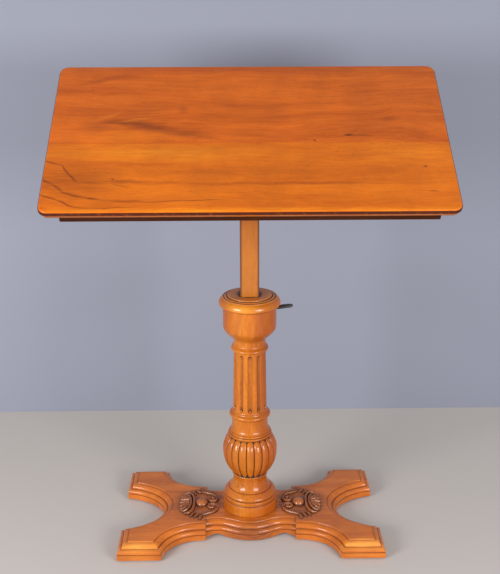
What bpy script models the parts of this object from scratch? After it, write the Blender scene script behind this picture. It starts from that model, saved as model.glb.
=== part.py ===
"""Tilting reading table.

A two-board top on a hinged frame is carried by a square post. The post slides
in a turned column, held by a lever brake, on a moulded base with four feet.

Z is up, the reader sits on the -Y side, and the origin is the floor point under
the column. The top is drawn at its reading tilt with the post half way out.
"""

import math

import bmesh
import bpy
from mathutils import Matrix, Vector

# Clearances and cutting
GAP = 0.0003
POST_PLAY = 0.0004
OVERRUN = 0.002

# Base plan
BASE_LENGTH = 0.545
BASE_DEPTH = 0.325
FOOT_WIDTH = 0.0895
FOOT_SIDE = 0.0845
SIDE_BAY_APEX = 0.187
WING_WAIST = 0.184
BLOCK_LENGTH = 0.189
BLOCK_END_DEPTH = 0.162
BLOCK_SCOOP_DEPTH = 0.149
BLOCK_BULGE_DEPTH = 0.188
SCOOP_PLACE = 0.070
SIDE_BAY_SHARES = ((0.50, 0.08), (1.0, 0.51))
FRONT_BAY_SHARES = ((0.08, 0.62), (0.42, 1.0))
BLOCK_END_SHARES = ((0.35, 0.75), (0.67, 1.0))
BLOCK_BULGE_SHARES = ((0.29, 0.0), (0.50, 1.0))
CURVE_STEPS = 6

# Base section
BASE_THICKNESS = 0.0315
PLINTH_HEIGHT = 0.0105
MOULDING_INSET = 0.0225
MOULDING_SHARES = (
    (0.05, 0.07), (0.08, 0.26), (0.20, 0.42), (0.38, 0.47), (0.41, 0.66),
    (0.58, 0.83), (0.76, 0.88), (0.94, 0.90), (1.0, 1.0))
ARCH_WIDTH = 0.036
ARCH_RISE = 0.005
PAD_RADIUS = 0.012
PAD_HEIGHT = 0.003
PAD_INSET = 0.034
TONGUE_LENGTH = 0.044
TONGUE_WIDTH = 0.110
TONGUE_THICKNESS = 0.008

# Carved mounts beside the column
CARVING_PLACE = 0.099
FRUIT_RADIUS = 0.013
FRUIT_HEIGHT = 0.015
LEAF_LENGTH = 0.040
LEAF_WIDTH = 0.015
LEAF_HEIGHT = 0.010
LEAF_SPREAD = 0.018
LEAF_FAN_SHARES = (-0.6, 0.0, 0.6)
SCROLL_RADIUS = 0.011
SCROLL_HEIGHT = 0.010
TIP_LENGTH = 0.038
TIP_WIDTH = 0.018
TIP_HEIGHT = 0.008
TIP_TURN = math.radians(16)

# Column, from the base up: one radius and height for each turning
FOOT_RADIUS = 0.0585
FOOT_HEIGHT = 0.0732
VASE_RADIUS = 0.0572
VASE_HEIGHT = 0.1537
SHAFT_RADIUS = 0.0383
SHAFT_HEIGHT = 0.1437
COLLAR_RADIUS = 0.063
COLLAR_HEIGHT = 0.1036
CAP_RADIUS = 0.056
CAP_HEIGHT = 0.0064
TURNING_STEPS = 32
COLLAR_WALL_SHARE = 0.865
# Outer profiles, top to bottom: share of the radius, share of the height
FOOT_SHARES = (
    (0.609, 1.000), (0.619, 0.863), (0.653, 0.781), (0.687, 0.727), (0.757, 0.658), (0.750, 0.648),
    (0.790, 0.639), (0.843, 0.604), (0.892, 0.563), (0.932, 0.522), (0.945, 0.488), (0.930, 0.462),
    (0.903, 0.448), (0.933, 0.432), (0.964, 0.392), (0.961, 0.344), (0.937, 0.311), (0.944, 0.295),
    (0.978, 0.269), (0.998, 0.153), (0.995, 0.000))
VASE_SHARES = (
    (0.647, 1.000), (0.668, 0.980), (0.720, 0.969), (0.752, 0.947), (0.734, 0.930), (0.670, 0.913),
    (0.654, 0.831), (0.664, 0.766), (0.734, 0.707), (0.726, 0.703), (0.767, 0.685), (0.759, 0.673),
    (0.801, 0.662), (0.797, 0.645), (0.780, 0.637), (0.850, 0.597), (0.913, 0.558), (0.974, 0.499),
    (1.000, 0.427), (0.990, 0.336), (0.955, 0.258), (0.862, 0.180), (0.773, 0.115), (0.689, 0.070),
    (0.647, 0.058), (0.657, 0.041), (0.622, 0.000))
SHAFT_SHARES = (
    (0.914, 1.000), (0.930, 0.996), (0.966, 0.987), (0.995, 0.975), (1.000, 0.961), (0.977, 0.950),
    (0.930, 0.944), (0.877, 0.939), (0.859, 0.920), (0.924, 0.015), (0.950, 0.000))
COLLAR_SHARES = (
    (0.905, 1.000), (0.943, 0.986), (0.979, 0.960), (1.000, 0.921), (0.986, 0.883), (0.957, 0.863),
    (0.917, 0.843), (COLLAR_WALL_SHARE, 0.831), (COLLAR_WALL_SHARE, 0.422), (0.856, 0.383),
    (0.835, 0.354), (0.781, 0.306), (0.676, 0.238), (0.578, 0.184), (0.532, 0.142), (0.519, 0.074),
    (0.530, 0.026), (0.578, 0.000))
CAP_SHARES = (
    (0.714, 1.000), (0.737, 0.875), (0.754, 0.625), (0.775, 0.562), (0.839, 0.547), (0.902, 0.469),
    (0.929, 0.391), (0.950, 0.359), (0.982, 0.328), (1.000, 0.219), (0.996, 0.000))

# Flutes and gadroons
FLUTE_COUNT = 11
FLUTE_RADIUS = 0.0053
FLUTE_DEPTH = 0.0042
FLUTE_MARGIN = 0.0012
FLUTE_SIDES = 8
LOBE_COUNT = 20
LOBE_DEPTH = 0.0034
LOBE_SPAN_SHARES = (0.056, 0.622)

# Post and its bore
POST_WIDTH = 0.038
POST_ARRIS = 0.0015
HINGE_HEIGHT = 0.7746
POST_DROP = 0.100
POST_RISE = 0.150
BUFFER_HEIGHT = 0.006
BUFFER_WIDTH = 0.034
GROOVE_WIDTH = 0.007
GROOVE_DEPTH = 0.004

# Stop screw in the collar
STOP_HEIGHT = 0.0474
STOP_RADIUS = 0.0025
STOP_BITE = 0.003
STOP_HEAD_RADIUS = 0.0045
STOP_HEAD_HEIGHT = 0.003

# Column joinery
DOWEL_RADIUS = 0.003
DOWEL_LENGTH = 0.020
CAP_DOWEL_LENGTH = 0.010
WAIST_JOINT_DOWEL = 0.022
SHAFT_JOINT_DOWEL = 0.0255
CAP_JOINT_DOWEL = 0.040
TIE_BOLT_RADIUS = 0.005
TIE_BOLT_BITE = 0.030
TIE_HEAD_RADIUS = 0.0095
TIE_HEAD_HEIGHT = 0.006
TIE_WASHER_RADIUS = 0.014
TIE_WASHER_HEIGHT = 0.002

# Release lever and brake
POCKET_WIDTH = 0.0185
POCKET_DEPTH = 0.0270
POCKET_HEIGHT = 0.0334
MOUTH_WIDTH = 0.013
MOUTH_HEIGHT = 0.0125
LEVER_PIVOT_OUT = 0.018
LEVER_PIVOT_DOWN = 0.0204
LEVER_HUB_RADIUS = 0.0052
LEVER_WIDTH = 0.008
LEVER_THICKNESS = 0.004
LEVER_REACH = 0.0505
LEVER_DROP = 0.0042
LEVER_LIFT = 0.0030
LEVER_SHARES = ((0.0, 0.0), (0.24, -0.75), (0.46, -1.0), (0.58, -0.90))
THUMB_LENGTH = 0.0185
THUMB_WIDTH = 0.0125
THUMB_THICKNESS = 0.0048
NOSE_HEIGHT = 0.0044
SHOE_THICKNESS = 0.004
SHOE_HEIGHT = 0.021
SHOE_SIDE_PLAY = 0.0005
LEVER_PIN_RADIUS = 0.002
LEVER_PIN_BITE = 0.006
SPRING_WIRE = 0.0010
SPRING_RADIUS = 0.0037
SPRING_TURNS = 3
SPRING_PITCH = 0.0011
SPRING_POINTS = 9
SPRING_LEG = 0.008

# Top boards, in the plane of the top
TOP_LENGTH = 0.760
TOP_DEPTH = 0.4106
TOP_THICKNESS = 0.019
TOP_CORNER_RADIUS = 0.018
CORNER_STEPS = 5
FRONT_BOARD_DEPTH = 0.179
TOP_FACE_ROUND = 0.0028
TOP_SQUARE_SHARE = 0.36
TOP_UNDERCUT = 0.0055
TOP_UNDERCUT_SHARES = ((0.55, 0.30), (1.0, 1.0))
TOP_UNDERCUT_HEIGHT = 0.0095
TOP_TILT = math.radians(31.8)
BOARD_DOWEL_RADIUS = 0.003
BOARD_DOWEL_LENGTH = 0.040
BOARD_DOWEL_PLACE = 0.240

# Frame under the top
RAIL_WIDTH = 0.020
RAIL_HEIGHT = 0.020
RAIL_CHAMFER = 0.0012
FRAME_END_INSET = 0.035
FRAME_EDGE_INSET = 0.014
BEARER_WIDTH = 0.020
BEARER_BOSS_RADIUS = 0.016
BEARER_BOSS_REACH = 0.060
BEARER_SHOULDER = 0.0005
SCREW_SHANK_RADIUS = 0.002
SCREW_HEAD_RADIUS = 0.004
SCREW_HEAD_HEIGHT = 0.0026
SCREW_HEAD_ROUND = 0.7
SCREW_BITE = 0.009
SCREW_SIDES = 8
LONG_RAIL_SCREWS_SHARE = 0.60
BEARER_SCREWS_SHARE = 0.86

# Hinge
HINGE_DROP = 0.040
HINGE_BOLT_RADIUS = 0.005
HINGE_HEAD_RADIUS = 0.009
HINGE_HEAD_HEIGHT = 0.005
HINGE_WASHER_RADIUS = 0.011
HINGE_WASHER_HEIGHT = 0.002
FRICTION_RADIUS = 0.014
SIDE_PLATE_THICKNESS = 0.003

# Quadrant stay and its clamp
SLOT_RADIUS = 0.060
SLOT_WIDTH = 0.007
STAY_BAND = 0.014
STAY_ARM = 0.012
STAY_TAIL = math.radians(9)
STAY_SLOT_TAIL = math.radians(4)
STAY_SLOT_END = math.radians(64)
STAY_END = math.radians(72)
STAY_PAD_LENGTH = 0.028
STAY_PAD_HEIGHT = 0.014
STAY_PAD_LIFT = 0.023
STAY_STEPS = 9
STAY_SCREW_SHARES = (0.25, 0.75)
CLAMP_RADIUS = 0.003
CLAMP_LENGTH = 0.024
CLAMP_KNOB_RADIUS = 0.014
CLAMP_KNOB_HEIGHT = 0.016
CLAMP_KNOB_SHARES = (
    (0.55, 1.0), (0.86, 0.92), (1.0, 0.74), (1.0, 0.40), (0.84, 0.26), (0.60, 0.20), (0.60, 0.0))
CLAMP_WASHER_RADIUS = 0.009
CLAMP_WASHER_HEIGHT = 0.0015
BUSH_RADIUS = 0.006
BUSH_LENGTH = 0.018

# Levels worked out from the sizes above
BLOCK_TOP = PAD_HEIGHT + BASE_THICKNESS
FOOT_Z = BLOCK_TOP + GAP
VASE_Z = FOOT_Z + FOOT_HEIGHT + GAP
SHAFT_Z = VASE_Z + VASE_HEIGHT + GAP
COLLAR_Z = SHAFT_Z + SHAFT_HEIGHT + GAP
CAP_Z = COLLAR_Z + COLLAR_HEIGHT + GAP
CAP_TOP = CAP_Z + CAP_HEIGHT
HINGE_Z = HINGE_HEIGHT
POST_HALF = POST_WIDTH / 2
BORE_WIDTH = POST_WIDTH + 2 * POST_PLAY
BORE_HALF = BORE_WIDTH / 2
POST_TOP = HINGE_Z + POST_HALF - POST_ARRIS
STOP_Z = COLLAR_Z + COLLAR_HEIGHT - STOP_HEIGHT
POST_BOTTOM = STOP_Z - POST_RISE - POST_WIDTH - STOP_RADIUS - GROOVE_WIDTH / 2
BUFFER_TOP = POST_BOTTOM - POST_DROP - GAP
BORE_FLOOR = BUFFER_TOP - BUFFER_HEIGHT - GAP
LEVER_X = BORE_HALF + LEVER_PIVOT_OUT
LEVER_Z = COLLAR_Z + COLLAR_HEIGHT - LEVER_PIVOT_DOWN
POCKET_FLOOR = COLLAR_Z + COLLAR_HEIGHT - POCKET_HEIGHT
CLAMP_Z = HINGE_Z - SLOT_RADIUS
# Height and distance from the axis of each dowel of the column
COLUMN_JOINTS = {
    "waist_dowel": (VASE_Z, WAIST_JOINT_DOWEL),
    "shaft_dowel": (SHAFT_Z, SHAFT_JOINT_DOWEL),
    "collar_dowel": (COLLAR_Z, SHAFT_JOINT_DOWEL)}

# Places across the hinge, outwards from the post's side
PLATE_X = POST_HALF + GAP
BEARER_X = PLATE_X + SIDE_PLATE_THICKNESS + GAP
WASHER_X = BEARER_X + BEARER_WIDTH + GAP
BOLT_HEAD_X = WASHER_X + HINGE_WASHER_HEIGHT + GAP
CLAMP_WASHER_X = PLATE_X + SIDE_PLATE_THICKNESS + GAP
KNOB_X = CLAMP_WASHER_X + CLAMP_WASHER_HEIGHT + GAP

# Places in the plane of the top, measured from the hinge
BOARD_UNDER = HINGE_DROP
TOP_MIDDLE = (HINGE_DROP + TOP_THICKNESS / 2) * math.tan(TOP_TILT)
TOP_FRONT = TOP_MIDDLE - TOP_DEPTH / 2
BOARD_JOINT = TOP_FRONT + FRONT_BOARD_DEPTH
RAIL_TOP = BOARD_UNDER - GAP
RAIL_BOTTOM = RAIL_TOP - RAIL_HEIGHT
FRAME_FRONT = TOP_FRONT + FRAME_EDGE_INSET
FRAME_REAR = TOP_FRONT + TOP_DEPTH - FRAME_EDGE_INSET
FRAME_END = TOP_LENGTH / 2 - FRAME_END_INSET
BEARER_FRONT = FRAME_FRONT + RAIL_WIDTH + GAP
BEARER_REAR = FRAME_REAR - RAIL_WIDTH - GAP

# Colour, roughness and metallic value of each finish
BOARD_WOOD = ((0.52, 0.19, 0.045), 0.28, 0.0)
REAR_BOARD_WOOD = ((0.45, 0.14, 0.035), 0.28, 0.0)
COLUMN_WOOD = ((0.50, 0.17, 0.035), 0.26, 0.0)
BASE_WOOD = ((0.40, 0.13, 0.035), 0.30, 0.0)
CARVED_WOOD = ((0.22, 0.075, 0.028), 0.42, 0.0)
PLAIN_WOOD = ((0.28, 0.11, 0.04), 0.55, 0.0)
DARK_CAP_WOOD = ((0.25, 0.085, 0.03), 0.32, 0.0)
BRASS = ((0.66, 0.45, 0.16), 0.34, 1.0)
STEEL = ((0.30, 0.29, 0.28), 0.42, 1.0)
DARK_STEEL = ((0.10, 0.095, 0.09), 0.45, 1.0)
FELT = ((0.05, 0.10, 0.05), 0.95, 0.0)
LEATHER = ((0.12, 0.06, 0.03), 0.80, 0.0)

# Turns that lay a flat outline or a turned axis along the object
FACING_X = Matrix(((0, 0, 1, 0), (1, 0, 0, 0), (0, 1, 0, 0), (0, 0, 0, 1)))
FACING_BACK = Matrix.Rotation(math.radians(90), 4, "X")
UPRIGHT = Matrix.Identity(4)
TO_RIGHT = Matrix.Rotation(math.radians(90), 4, "Y")
TO_LEFT = Matrix.Rotation(math.radians(-90), 4, "Y")
TO_BACK = Matrix.Rotation(math.radians(-90), 4, "X")


def clear_scene():
    """Remove what the scene holds."""
    for item in list(bpy.data.objects):
        bpy.data.objects.remove(item, do_unlink=True)
    for group in list(bpy.data.collections):
        bpy.data.collections.remove(group)


def new_collection(name):
    """A collection in the scene."""
    group = bpy.data.collections.new(name)
    bpy.context.scene.collection.children.link(group)
    return group


def finish(item, look):
    """Give a piece a material of its own."""
    colour, roughness, metallic = look
    paint = bpy.data.materials.new(item.name)
    paint.use_nodes = True
    shader = paint.node_tree.nodes["Principled BSDF"]
    shader.inputs["Base Color"].default_value = (*colour, 1.0)
    shader.inputs["Roughness"].default_value = roughness
    shader.inputs["Metallic"].default_value = metallic
    item.data.materials.clear()
    item.data.materials.append(paint)
    return item


def make_object(name, data, place=UPRIGHT, parent=None):
    """An object for mesh or curve data, placed in its parent's space."""
    item = bpy.data.objects.new(name, data)
    PARTS.objects.link(item)
    if parent:
        item.parent = parent
    item.matrix_basis = place
    return item


def empty(name, place, parent=None):
    """An empty that carries the pieces of one moving body."""
    item = make_object(name, None, place, parent)
    item.empty_display_size = POST_WIDTH
    return item


def move(x=0.0, y=0.0, z=0.0, turn=UPRIGHT):
    """A turn followed by a shift."""
    return Matrix.Translation((x, y, z)) @ turn


def as_mesh(item):
    """Replace an object by its evaluated mesh, welded, at the same place."""
    bpy.context.view_layer.update()
    graph = bpy.context.evaluated_depsgraph_get()
    mesh = bpy.data.meshes.new_from_object(item.evaluated_get(graph))
    work = bmesh.new()
    work.from_mesh(mesh)
    bmesh.ops.remove_doubles(work, verts=work.verts, dist=GAP / 10)
    bmesh.ops.recalc_face_normals(work, faces=work.faces)
    work.to_mesh(mesh)
    work.free()
    name = item.name
    collection = item.users_collection[0]
    parent, place = item.parent, item.matrix_basis.copy()
    bpy.data.objects.remove(item, do_unlink=True)
    solid = bpy.data.objects.new(name, mesh)
    collection.objects.link(solid)
    solid.parent = parent
    solid.matrix_basis = place
    return solid


def smooth(item, degrees=35):
    """Smooth shading that keeps true edges."""
    item.data.shade_smooth()
    item.data.set_sharp_from_angle(angle=math.radians(degrees))
    return item


def box(name, low, high, parent=None):
    """A box between two corners."""
    work = bmesh.new()
    bmesh.ops.create_cube(work, size=1.0)
    size = Vector(high) - Vector(low)
    middle = (Vector(high) + Vector(low)) / 2
    bmesh.ops.scale(work, vec=size, verts=work.verts)
    bmesh.ops.translate(work, vec=middle, verts=work.verts)
    mesh = bpy.data.meshes.new(name)
    work.to_mesh(mesh)
    work.free()
    return make_object(name, mesh, parent=parent)


def rod(name, radius, length, place, parent=None, sides=16):
    """A cylinder whose lower end is at the place given."""
    work = bmesh.new()
    bmesh.ops.create_cone(work, cap_ends=True, segments=sides, radius1=radius, radius2=radius, depth=length)
    bmesh.ops.translate(work, vec=(0, 0, length / 2), verts=work.verts)
    mesh = bpy.data.meshes.new(name)
    work.to_mesh(mesh)
    work.free()
    return make_object(name, mesh, place, parent)


def turned(name, outline, place, parent=None, steps=TURNING_STEPS, closed=False):
    """A turning: radius and height points, top to bottom, swept round the axis."""
    mesh = bpy.data.meshes.new(name)
    edges = [(i, i + 1) for i in range(len(outline) - 1)]
    if closed:
        edges.append((len(outline) - 1, 0))
    mesh.from_pydata([(radius, 0, height) for radius, height in outline], edges, [])
    item = make_object(name, mesh, place, parent)
    screw = item.modifiers.new("turning", "SCREW")
    screw.steps = steps
    screw.render_steps = steps
    screw.use_merge_vertices = True
    screw.merge_threshold = GAP / 10
    return smooth(as_mesh(item))


def shared_profile(shares, radius, height):
    """Radius and height points of the outside of a turning."""
    return [(share * radius, level * height) for share, level in shares]


def solid_profile(shares, radius, height):
    """Radius and height points of a solid turning, closed on its axis."""
    return [(0.0, height)] + shared_profile(shares, radius, height) + [(0.0, 0.0)]


def ring(name, inner, outer, height, place, parent=None, steps=24):
    """A washer or bush."""
    outline = [(outer, height), (outer, 0.0), (inner, 0.0), (inner, height)]
    return turned(name, outline, place, parent, steps, closed=True)


def flat_shape(name, outlines, thickness, place, parent=None):
    """A plate cut to an outline, with any holes as further outlines."""
    curve = bpy.data.curves.new(name, "CURVE")
    curve.dimensions = "2D"
    curve.fill_mode = "BOTH"
    curve.extrude = thickness / 2
    for outline in outlines:
        spline = curve.splines.new("POLY")
        spline.points.add(len(outline) - 1)
        for point, (x, y) in zip(spline.points, outline):
            point.co = (x, y, 0.0, 1.0)
        spline.use_cyclic_u = True
    return as_mesh(make_object(name, curve, place, parent))


def cut(target, cutter, operation="DIFFERENCE"):
    """Cut a target by a cutter, or join the cutter to it."""
    for group in cutter.users_collection:
        group.objects.unlink(cutter)
    CUTTERS.objects.link(cutter)
    cutter.hide_render = True
    cutter.display_type = "WIRE"
    change = target.modifiers.new(cutter.name, "BOOLEAN")
    change.operation = operation
    change.solver = "EXACT"
    change.object = cutter
    return target


def circle_points(radius, start, end, steps, centre=(0.0, 0.0)):
    """Points on an arc, both ends included."""
    points = []
    for step in range(steps + 1):
        angle = start + (end - start) * step / steps
        points.append((centre[0] + radius * math.cos(angle), centre[1] + radius * math.sin(angle)))
    return points


def bezier_points(first, last, shares, steps=CURVE_STEPS):
    """Points on a cubic whose handles are shares of its span; the last point is left out."""
    start, end = Vector(first), Vector(last)
    span = end - start
    handle_a = start + Vector((span.x * shares[0][0], span.y * shares[0][1]))
    handle_b = start + Vector((span.x * shares[1][0], span.y * shares[1][1]))
    points = []
    for step in range(steps):
        t = step / steps
        u = 1 - t
        point = start * u ** 3 + handle_a * 3 * u * u * t + handle_b * 3 * u * t * t + end * t ** 3
        points.append((point.x, point.y))
    return points


def moulded_slab(name, outline, low, high, steps_up, steps_down, place, parent=None):
    """A slab with a square edge from low to high and stepped insets above and below it."""
    work = bmesh.new()
    corners = [work.verts.new((x, y, low)) for x, y in outline]
    bottom = work.faces.new(corners)
    grown = bmesh.ops.extrude_face_region(work, geom=[bottom], use_keep_orig=True)
    raised = [part for part in grown["geom"] if isinstance(part, bmesh.types.BMVert)]
    bmesh.ops.translate(work, vec=(0, 0, high - low), verts=raised)
    bmesh.ops.recalc_face_normals(work, faces=work.faces)
    for normal_z, steps in ((1, steps_up), (-1, steps_down)):
        done = (0.0, 0.0)
        for inset, depth in steps:
            face = max(work.faces, key=lambda f: f.calc_center_median().z * normal_z)
            bmesh.ops.inset_region(
                work, faces=[face], thickness=inset - done[0], depth=depth - done[1],
                use_boundary=True, use_even_offset=True)
            done = (inset, depth)
    mesh = bpy.data.meshes.new(name)
    work.to_mesh(mesh)
    work.free()
    return make_object(name, mesh, place, parent)


def keep_side(item, point, normal):
    """Saw a mesh through a plane and keep the part the normal points away from."""
    work = bmesh.new()
    work.from_mesh(item.data)
    geometry = work.verts[:] + work.edges[:] + work.faces[:]
    result = bmesh.ops.bisect_plane(
        work, geom=geometry, plane_co=point, plane_no=normal, clear_outer=True)
    edges = [part for part in result["geom_cut"] if isinstance(part, bmesh.types.BMEdge)]
    bmesh.ops.holes_fill(work, edges=edges, sides=0)
    bmesh.ops.recalc_face_normals(work, faces=work.faces)
    work.to_mesh(item.data)
    work.free()
    return item


def moulding_steps():
    """Insets and heights of the base moulding above its plinth."""
    height = BASE_THICKNESS - PLINTH_HEIGHT
    return [(inset * MOULDING_INSET, level * height) for inset, level in MOULDING_SHARES]


def wing_outline():
    """Plan of the right wing, from its inner front corner anticlockwise."""
    inner = BLOCK_LENGTH / 2 - 2 * MOULDING_INSET
    front = BASE_DEPTH / 2
    end = BASE_LENGTH / 2
    toe = (end - FOOT_WIDTH, front)
    waist = (BLOCK_LENGTH / 2, WING_WAIST / 2)
    bay_mouth = (end, front - FOOT_SIDE)
    bay_apex = (SIDE_BAY_APEX, 0.0)
    arc = [waist] + bezier_points(toe, waist, FRONT_BAY_SHARES)[::-1]
    bay = bezier_points(bay_mouth, bay_apex, SIDE_BAY_SHARES)
    half = [(inner, waist[1])] + arc + [(end, front)] + bay
    lower = [(x, -y) for x, y in half]
    return lower + [bay_apex] + half[::-1]


def block_outline():
    """Plan of the middle block, run past both of its joints."""
    reach = BLOCK_LENGTH / 2 + 2 * MOULDING_INSET
    joint = (BLOCK_LENGTH / 2 + OVERRUN, BLOCK_END_DEPTH / 2)
    scoop = (SCOOP_PLACE, BLOCK_SCOOP_DEPTH / 2)
    bulge = (0.0, BLOCK_BULGE_DEPTH / 2)
    quarter = [(reach, joint[1])] + bezier_points(joint, scoop, BLOCK_END_SHARES)
    quarter += bezier_points(scoop, bulge, BLOCK_BULGE_SHARES)
    back = quarter + [bulge] + [(-x, y) for x, y in quarter[::-1]]
    return back + [(-x, -y) for x, y in back]


def base_tongue(name, side, play=0.0):
    """A loose tongue across one joint of the base, or its mortise."""
    joint = side * BLOCK_LENGTH / 2
    middle = PAD_HEIGHT + BASE_THICKNESS / 2
    reach = TONGUE_LENGTH / 2 + play
    across = TONGUE_WIDTH / 2 + play
    up = TONGUE_THICKNESS / 2 + play
    return box(name, (joint - reach, -across, middle - up), (joint + reach, across, middle + up))


def make_wing(name, side):
    """One wing of the base with its two feet."""
    outline = [(side * x, y) for x, y in wing_outline()]
    wing = moulded_slab(
        name, outline, PAD_HEIGHT, PAD_HEIGHT + PLINTH_HEIGHT, moulding_steps(), [], UPRIGHT)
    keep_side(wing, (side * (BLOCK_LENGTH / 2 + GAP / 2), 0, 0), (-side, 0, 0))
    cut(wing, base_tongue(f"{name}_mortise", side, GAP))
    return finish(wing, BASE_WOOD)


def make_block():
    """The middle block that the column stands on."""
    block = moulded_slab(
        "base_centre_block", block_outline(), PAD_HEIGHT, PAD_HEIGHT + PLINTH_HEIGHT,
        moulding_steps(), [], UPRIGHT)
    arch_radius = (ARCH_WIDTH ** 2 / 4 + ARCH_RISE ** 2) / (2 * ARCH_RISE)
    for side in (-1, 1):
        keep_side(block, (side * (BLOCK_LENGTH / 2 - GAP / 2), 0, 0), (side, 0, 0))
        cut(block, base_tongue(f"block_mortise_{side}", side, GAP))
        centre = PAD_HEIGHT + ARCH_RISE - arch_radius
        place = move(side * SCOOP_PLACE, -BASE_DEPTH / 2, centre, TO_BACK)
        cut(block, rod(f"block_arch_{side}", arch_radius, BASE_DEPTH, place, sides=64))
    cut_tie_bolt(block)
    return finish(block, BASE_WOOD)


def make_pads():
    """Four pads under the feet, set against the wings."""
    across = BASE_LENGTH / 2 - PAD_INSET
    along = BASE_DEPTH / 2 - PAD_INSET
    for side, x in (("left", -across), ("right", across)):
        for end, y in (("front", -along), ("back", along)):
            pad = rod(f"foot_pad_{end}_{side}", PAD_RADIUS, PAD_HEIGHT - GAP, move(x, y), sides=16)
            finish(smooth(pad), LEATHER)


def swell(name, centre, size, turn=0.0):
    """A flattened ball on the base, for carved forms."""
    work = bmesh.new()
    bmesh.ops.create_uvsphere(work, u_segments=12, v_segments=8, radius=1.0)
    bmesh.ops.scale(work, vec=size, verts=work.verts)
    mesh = bpy.data.meshes.new(name)
    work.to_mesh(mesh)
    work.free()
    place = move(centre[0], centre[1], FOOT_Z) @ Matrix.Rotation(turn, 4, "Z")
    return smooth(make_object(name, mesh, place))


def make_carving(name, side):
    """A fruit between a leaf and a scroll, planted on one joint of the base."""
    middle = side * CARVING_PLACE
    carving = swell(name, (middle, 0.0), (FRUIT_RADIUS, FRUIT_RADIUS, FRUIT_HEIGHT))
    forms = []
    for share in LEAF_FAN_SHARES:
        turn = side * share
        reach = (FRUIT_RADIUS + LEAF_LENGTH) / 2
        centre = (middle + side * reach, LEAF_SPREAD * share)
        forms.append((centre, (LEAF_LENGTH / 2, LEAF_WIDTH / 2, LEAF_HEIGHT), turn))
    scroll = (SCROLL_RADIUS, SCROLL_RADIUS, SCROLL_HEIGHT)
    forms.append(((middle - side * (FRUIT_RADIUS + SCROLL_RADIUS / 2), 0.0), scroll, 0.0))
    for row in (-1, 1):
        tip_place = (middle, row * (FRUIT_RADIUS + TIP_WIDTH / 4))
        forms.append((tip_place, (TIP_LENGTH / 2, TIP_WIDTH / 2, TIP_HEIGHT), side * row * TIP_TURN))
    for index, (centre, size, turn) in enumerate(forms):
        cut(carving, swell(f"{name}_form_{index}", centre, size, turn), "UNION")
    low = (-BLOCK_LENGTH, -BLOCK_LENGTH, -BLOCK_LENGTH)
    floor = box(f"{name}_floor", low, (BLOCK_LENGTH, BLOCK_LENGTH, 0))
    floor.matrix_basis = move(z=FOOT_Z)
    cut(carving, floor)
    return finish(carving, CARVED_WOOD)


def column_dowel(name, joint_z, radius_place, play=0.0):
    """A dowel across one joint of the column, or its hole."""
    length = DOWEL_LENGTH + 2 * play
    place = move(0, radius_place, joint_z - GAP / 2 - length / 2)
    return rod(name, DOWEL_RADIUS + play, length, place, sides=8)


def drill(item, *joints):
    """The holes of a piece for the dowels of its joints."""
    for name in joints:
        joint_z, radius_place = COLUMN_JOINTS[name]
        cut(item, column_dowel(f"{item.name}_{name}_hole", joint_z, radius_place, GAP))


def cut_bore(item):
    """The square bore that the post slides in."""
    low = (-BORE_HALF, -BORE_HALF, BORE_FLOOR)
    high = (BORE_HALF, BORE_HALF, CAP_TOP + OVERRUN)
    cut(item, box(f"{item.name}_bore", low, high))


def cut_tie_bolt(block):
    """The hole of the tie bolt through the block, with the recess for its head."""
    place = move(z=PAD_HEIGHT - OVERRUN)
    length = BASE_THICKNESS + 2 * OVERRUN
    cut(block, rod("bolt_hole", TIE_BOLT_RADIUS + GAP, length, place, sides=12))
    depth = tie_head_z() + TIE_HEAD_HEIGHT + TIE_WASHER_HEIGHT + 2 * GAP - PAD_HEIGHT
    cut(block, rod("bolt_recess", TIE_WASHER_RADIUS + GAP, depth + OVERRUN, place, sides=20))


def tie_head_z():
    """Height of the underside of the tie bolt's head."""
    return PAD_HEIGHT + TIE_WASHER_HEIGHT


def make_tie_bolt():
    """The bolt that draws the column down on its base."""
    bolt_z = tie_head_z()
    top = VASE_Z + TIE_BOLT_BITE
    outline = [
        (0.0, top), (TIE_BOLT_RADIUS, top), (TIE_BOLT_RADIUS, bolt_z + TIE_HEAD_HEIGHT),
        (TIE_HEAD_RADIUS, bolt_z + TIE_HEAD_HEIGHT), (TIE_HEAD_RADIUS, bolt_z), (0.0, bolt_z)]
    finish(turned("column_tie_bolt", outline, UPRIGHT, steps=12), STEEL)
    washer = ring(
        "tie_bolt_washer", TIE_BOLT_RADIUS + GAP, TIE_WASHER_RADIUS, TIE_WASHER_HEIGHT,
        move(z=bolt_z + TIE_HEAD_HEIGHT + GAP), steps=20)
    finish(washer, STEEL)


def make_column_foot():
    """The turned foot of the column."""
    hole = TIE_BOLT_RADIUS + GAP
    profile = shared_profile(FOOT_SHARES, FOOT_RADIUS, FOOT_HEIGHT)
    profile += [(hole, 0.0), (hole, FOOT_HEIGHT)]
    foot = turned("column_foot", profile, move(z=FOOT_Z), closed=True)
    drill(foot, "waist_dowel")
    return finish(foot, COLUMN_WOOD)


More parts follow.
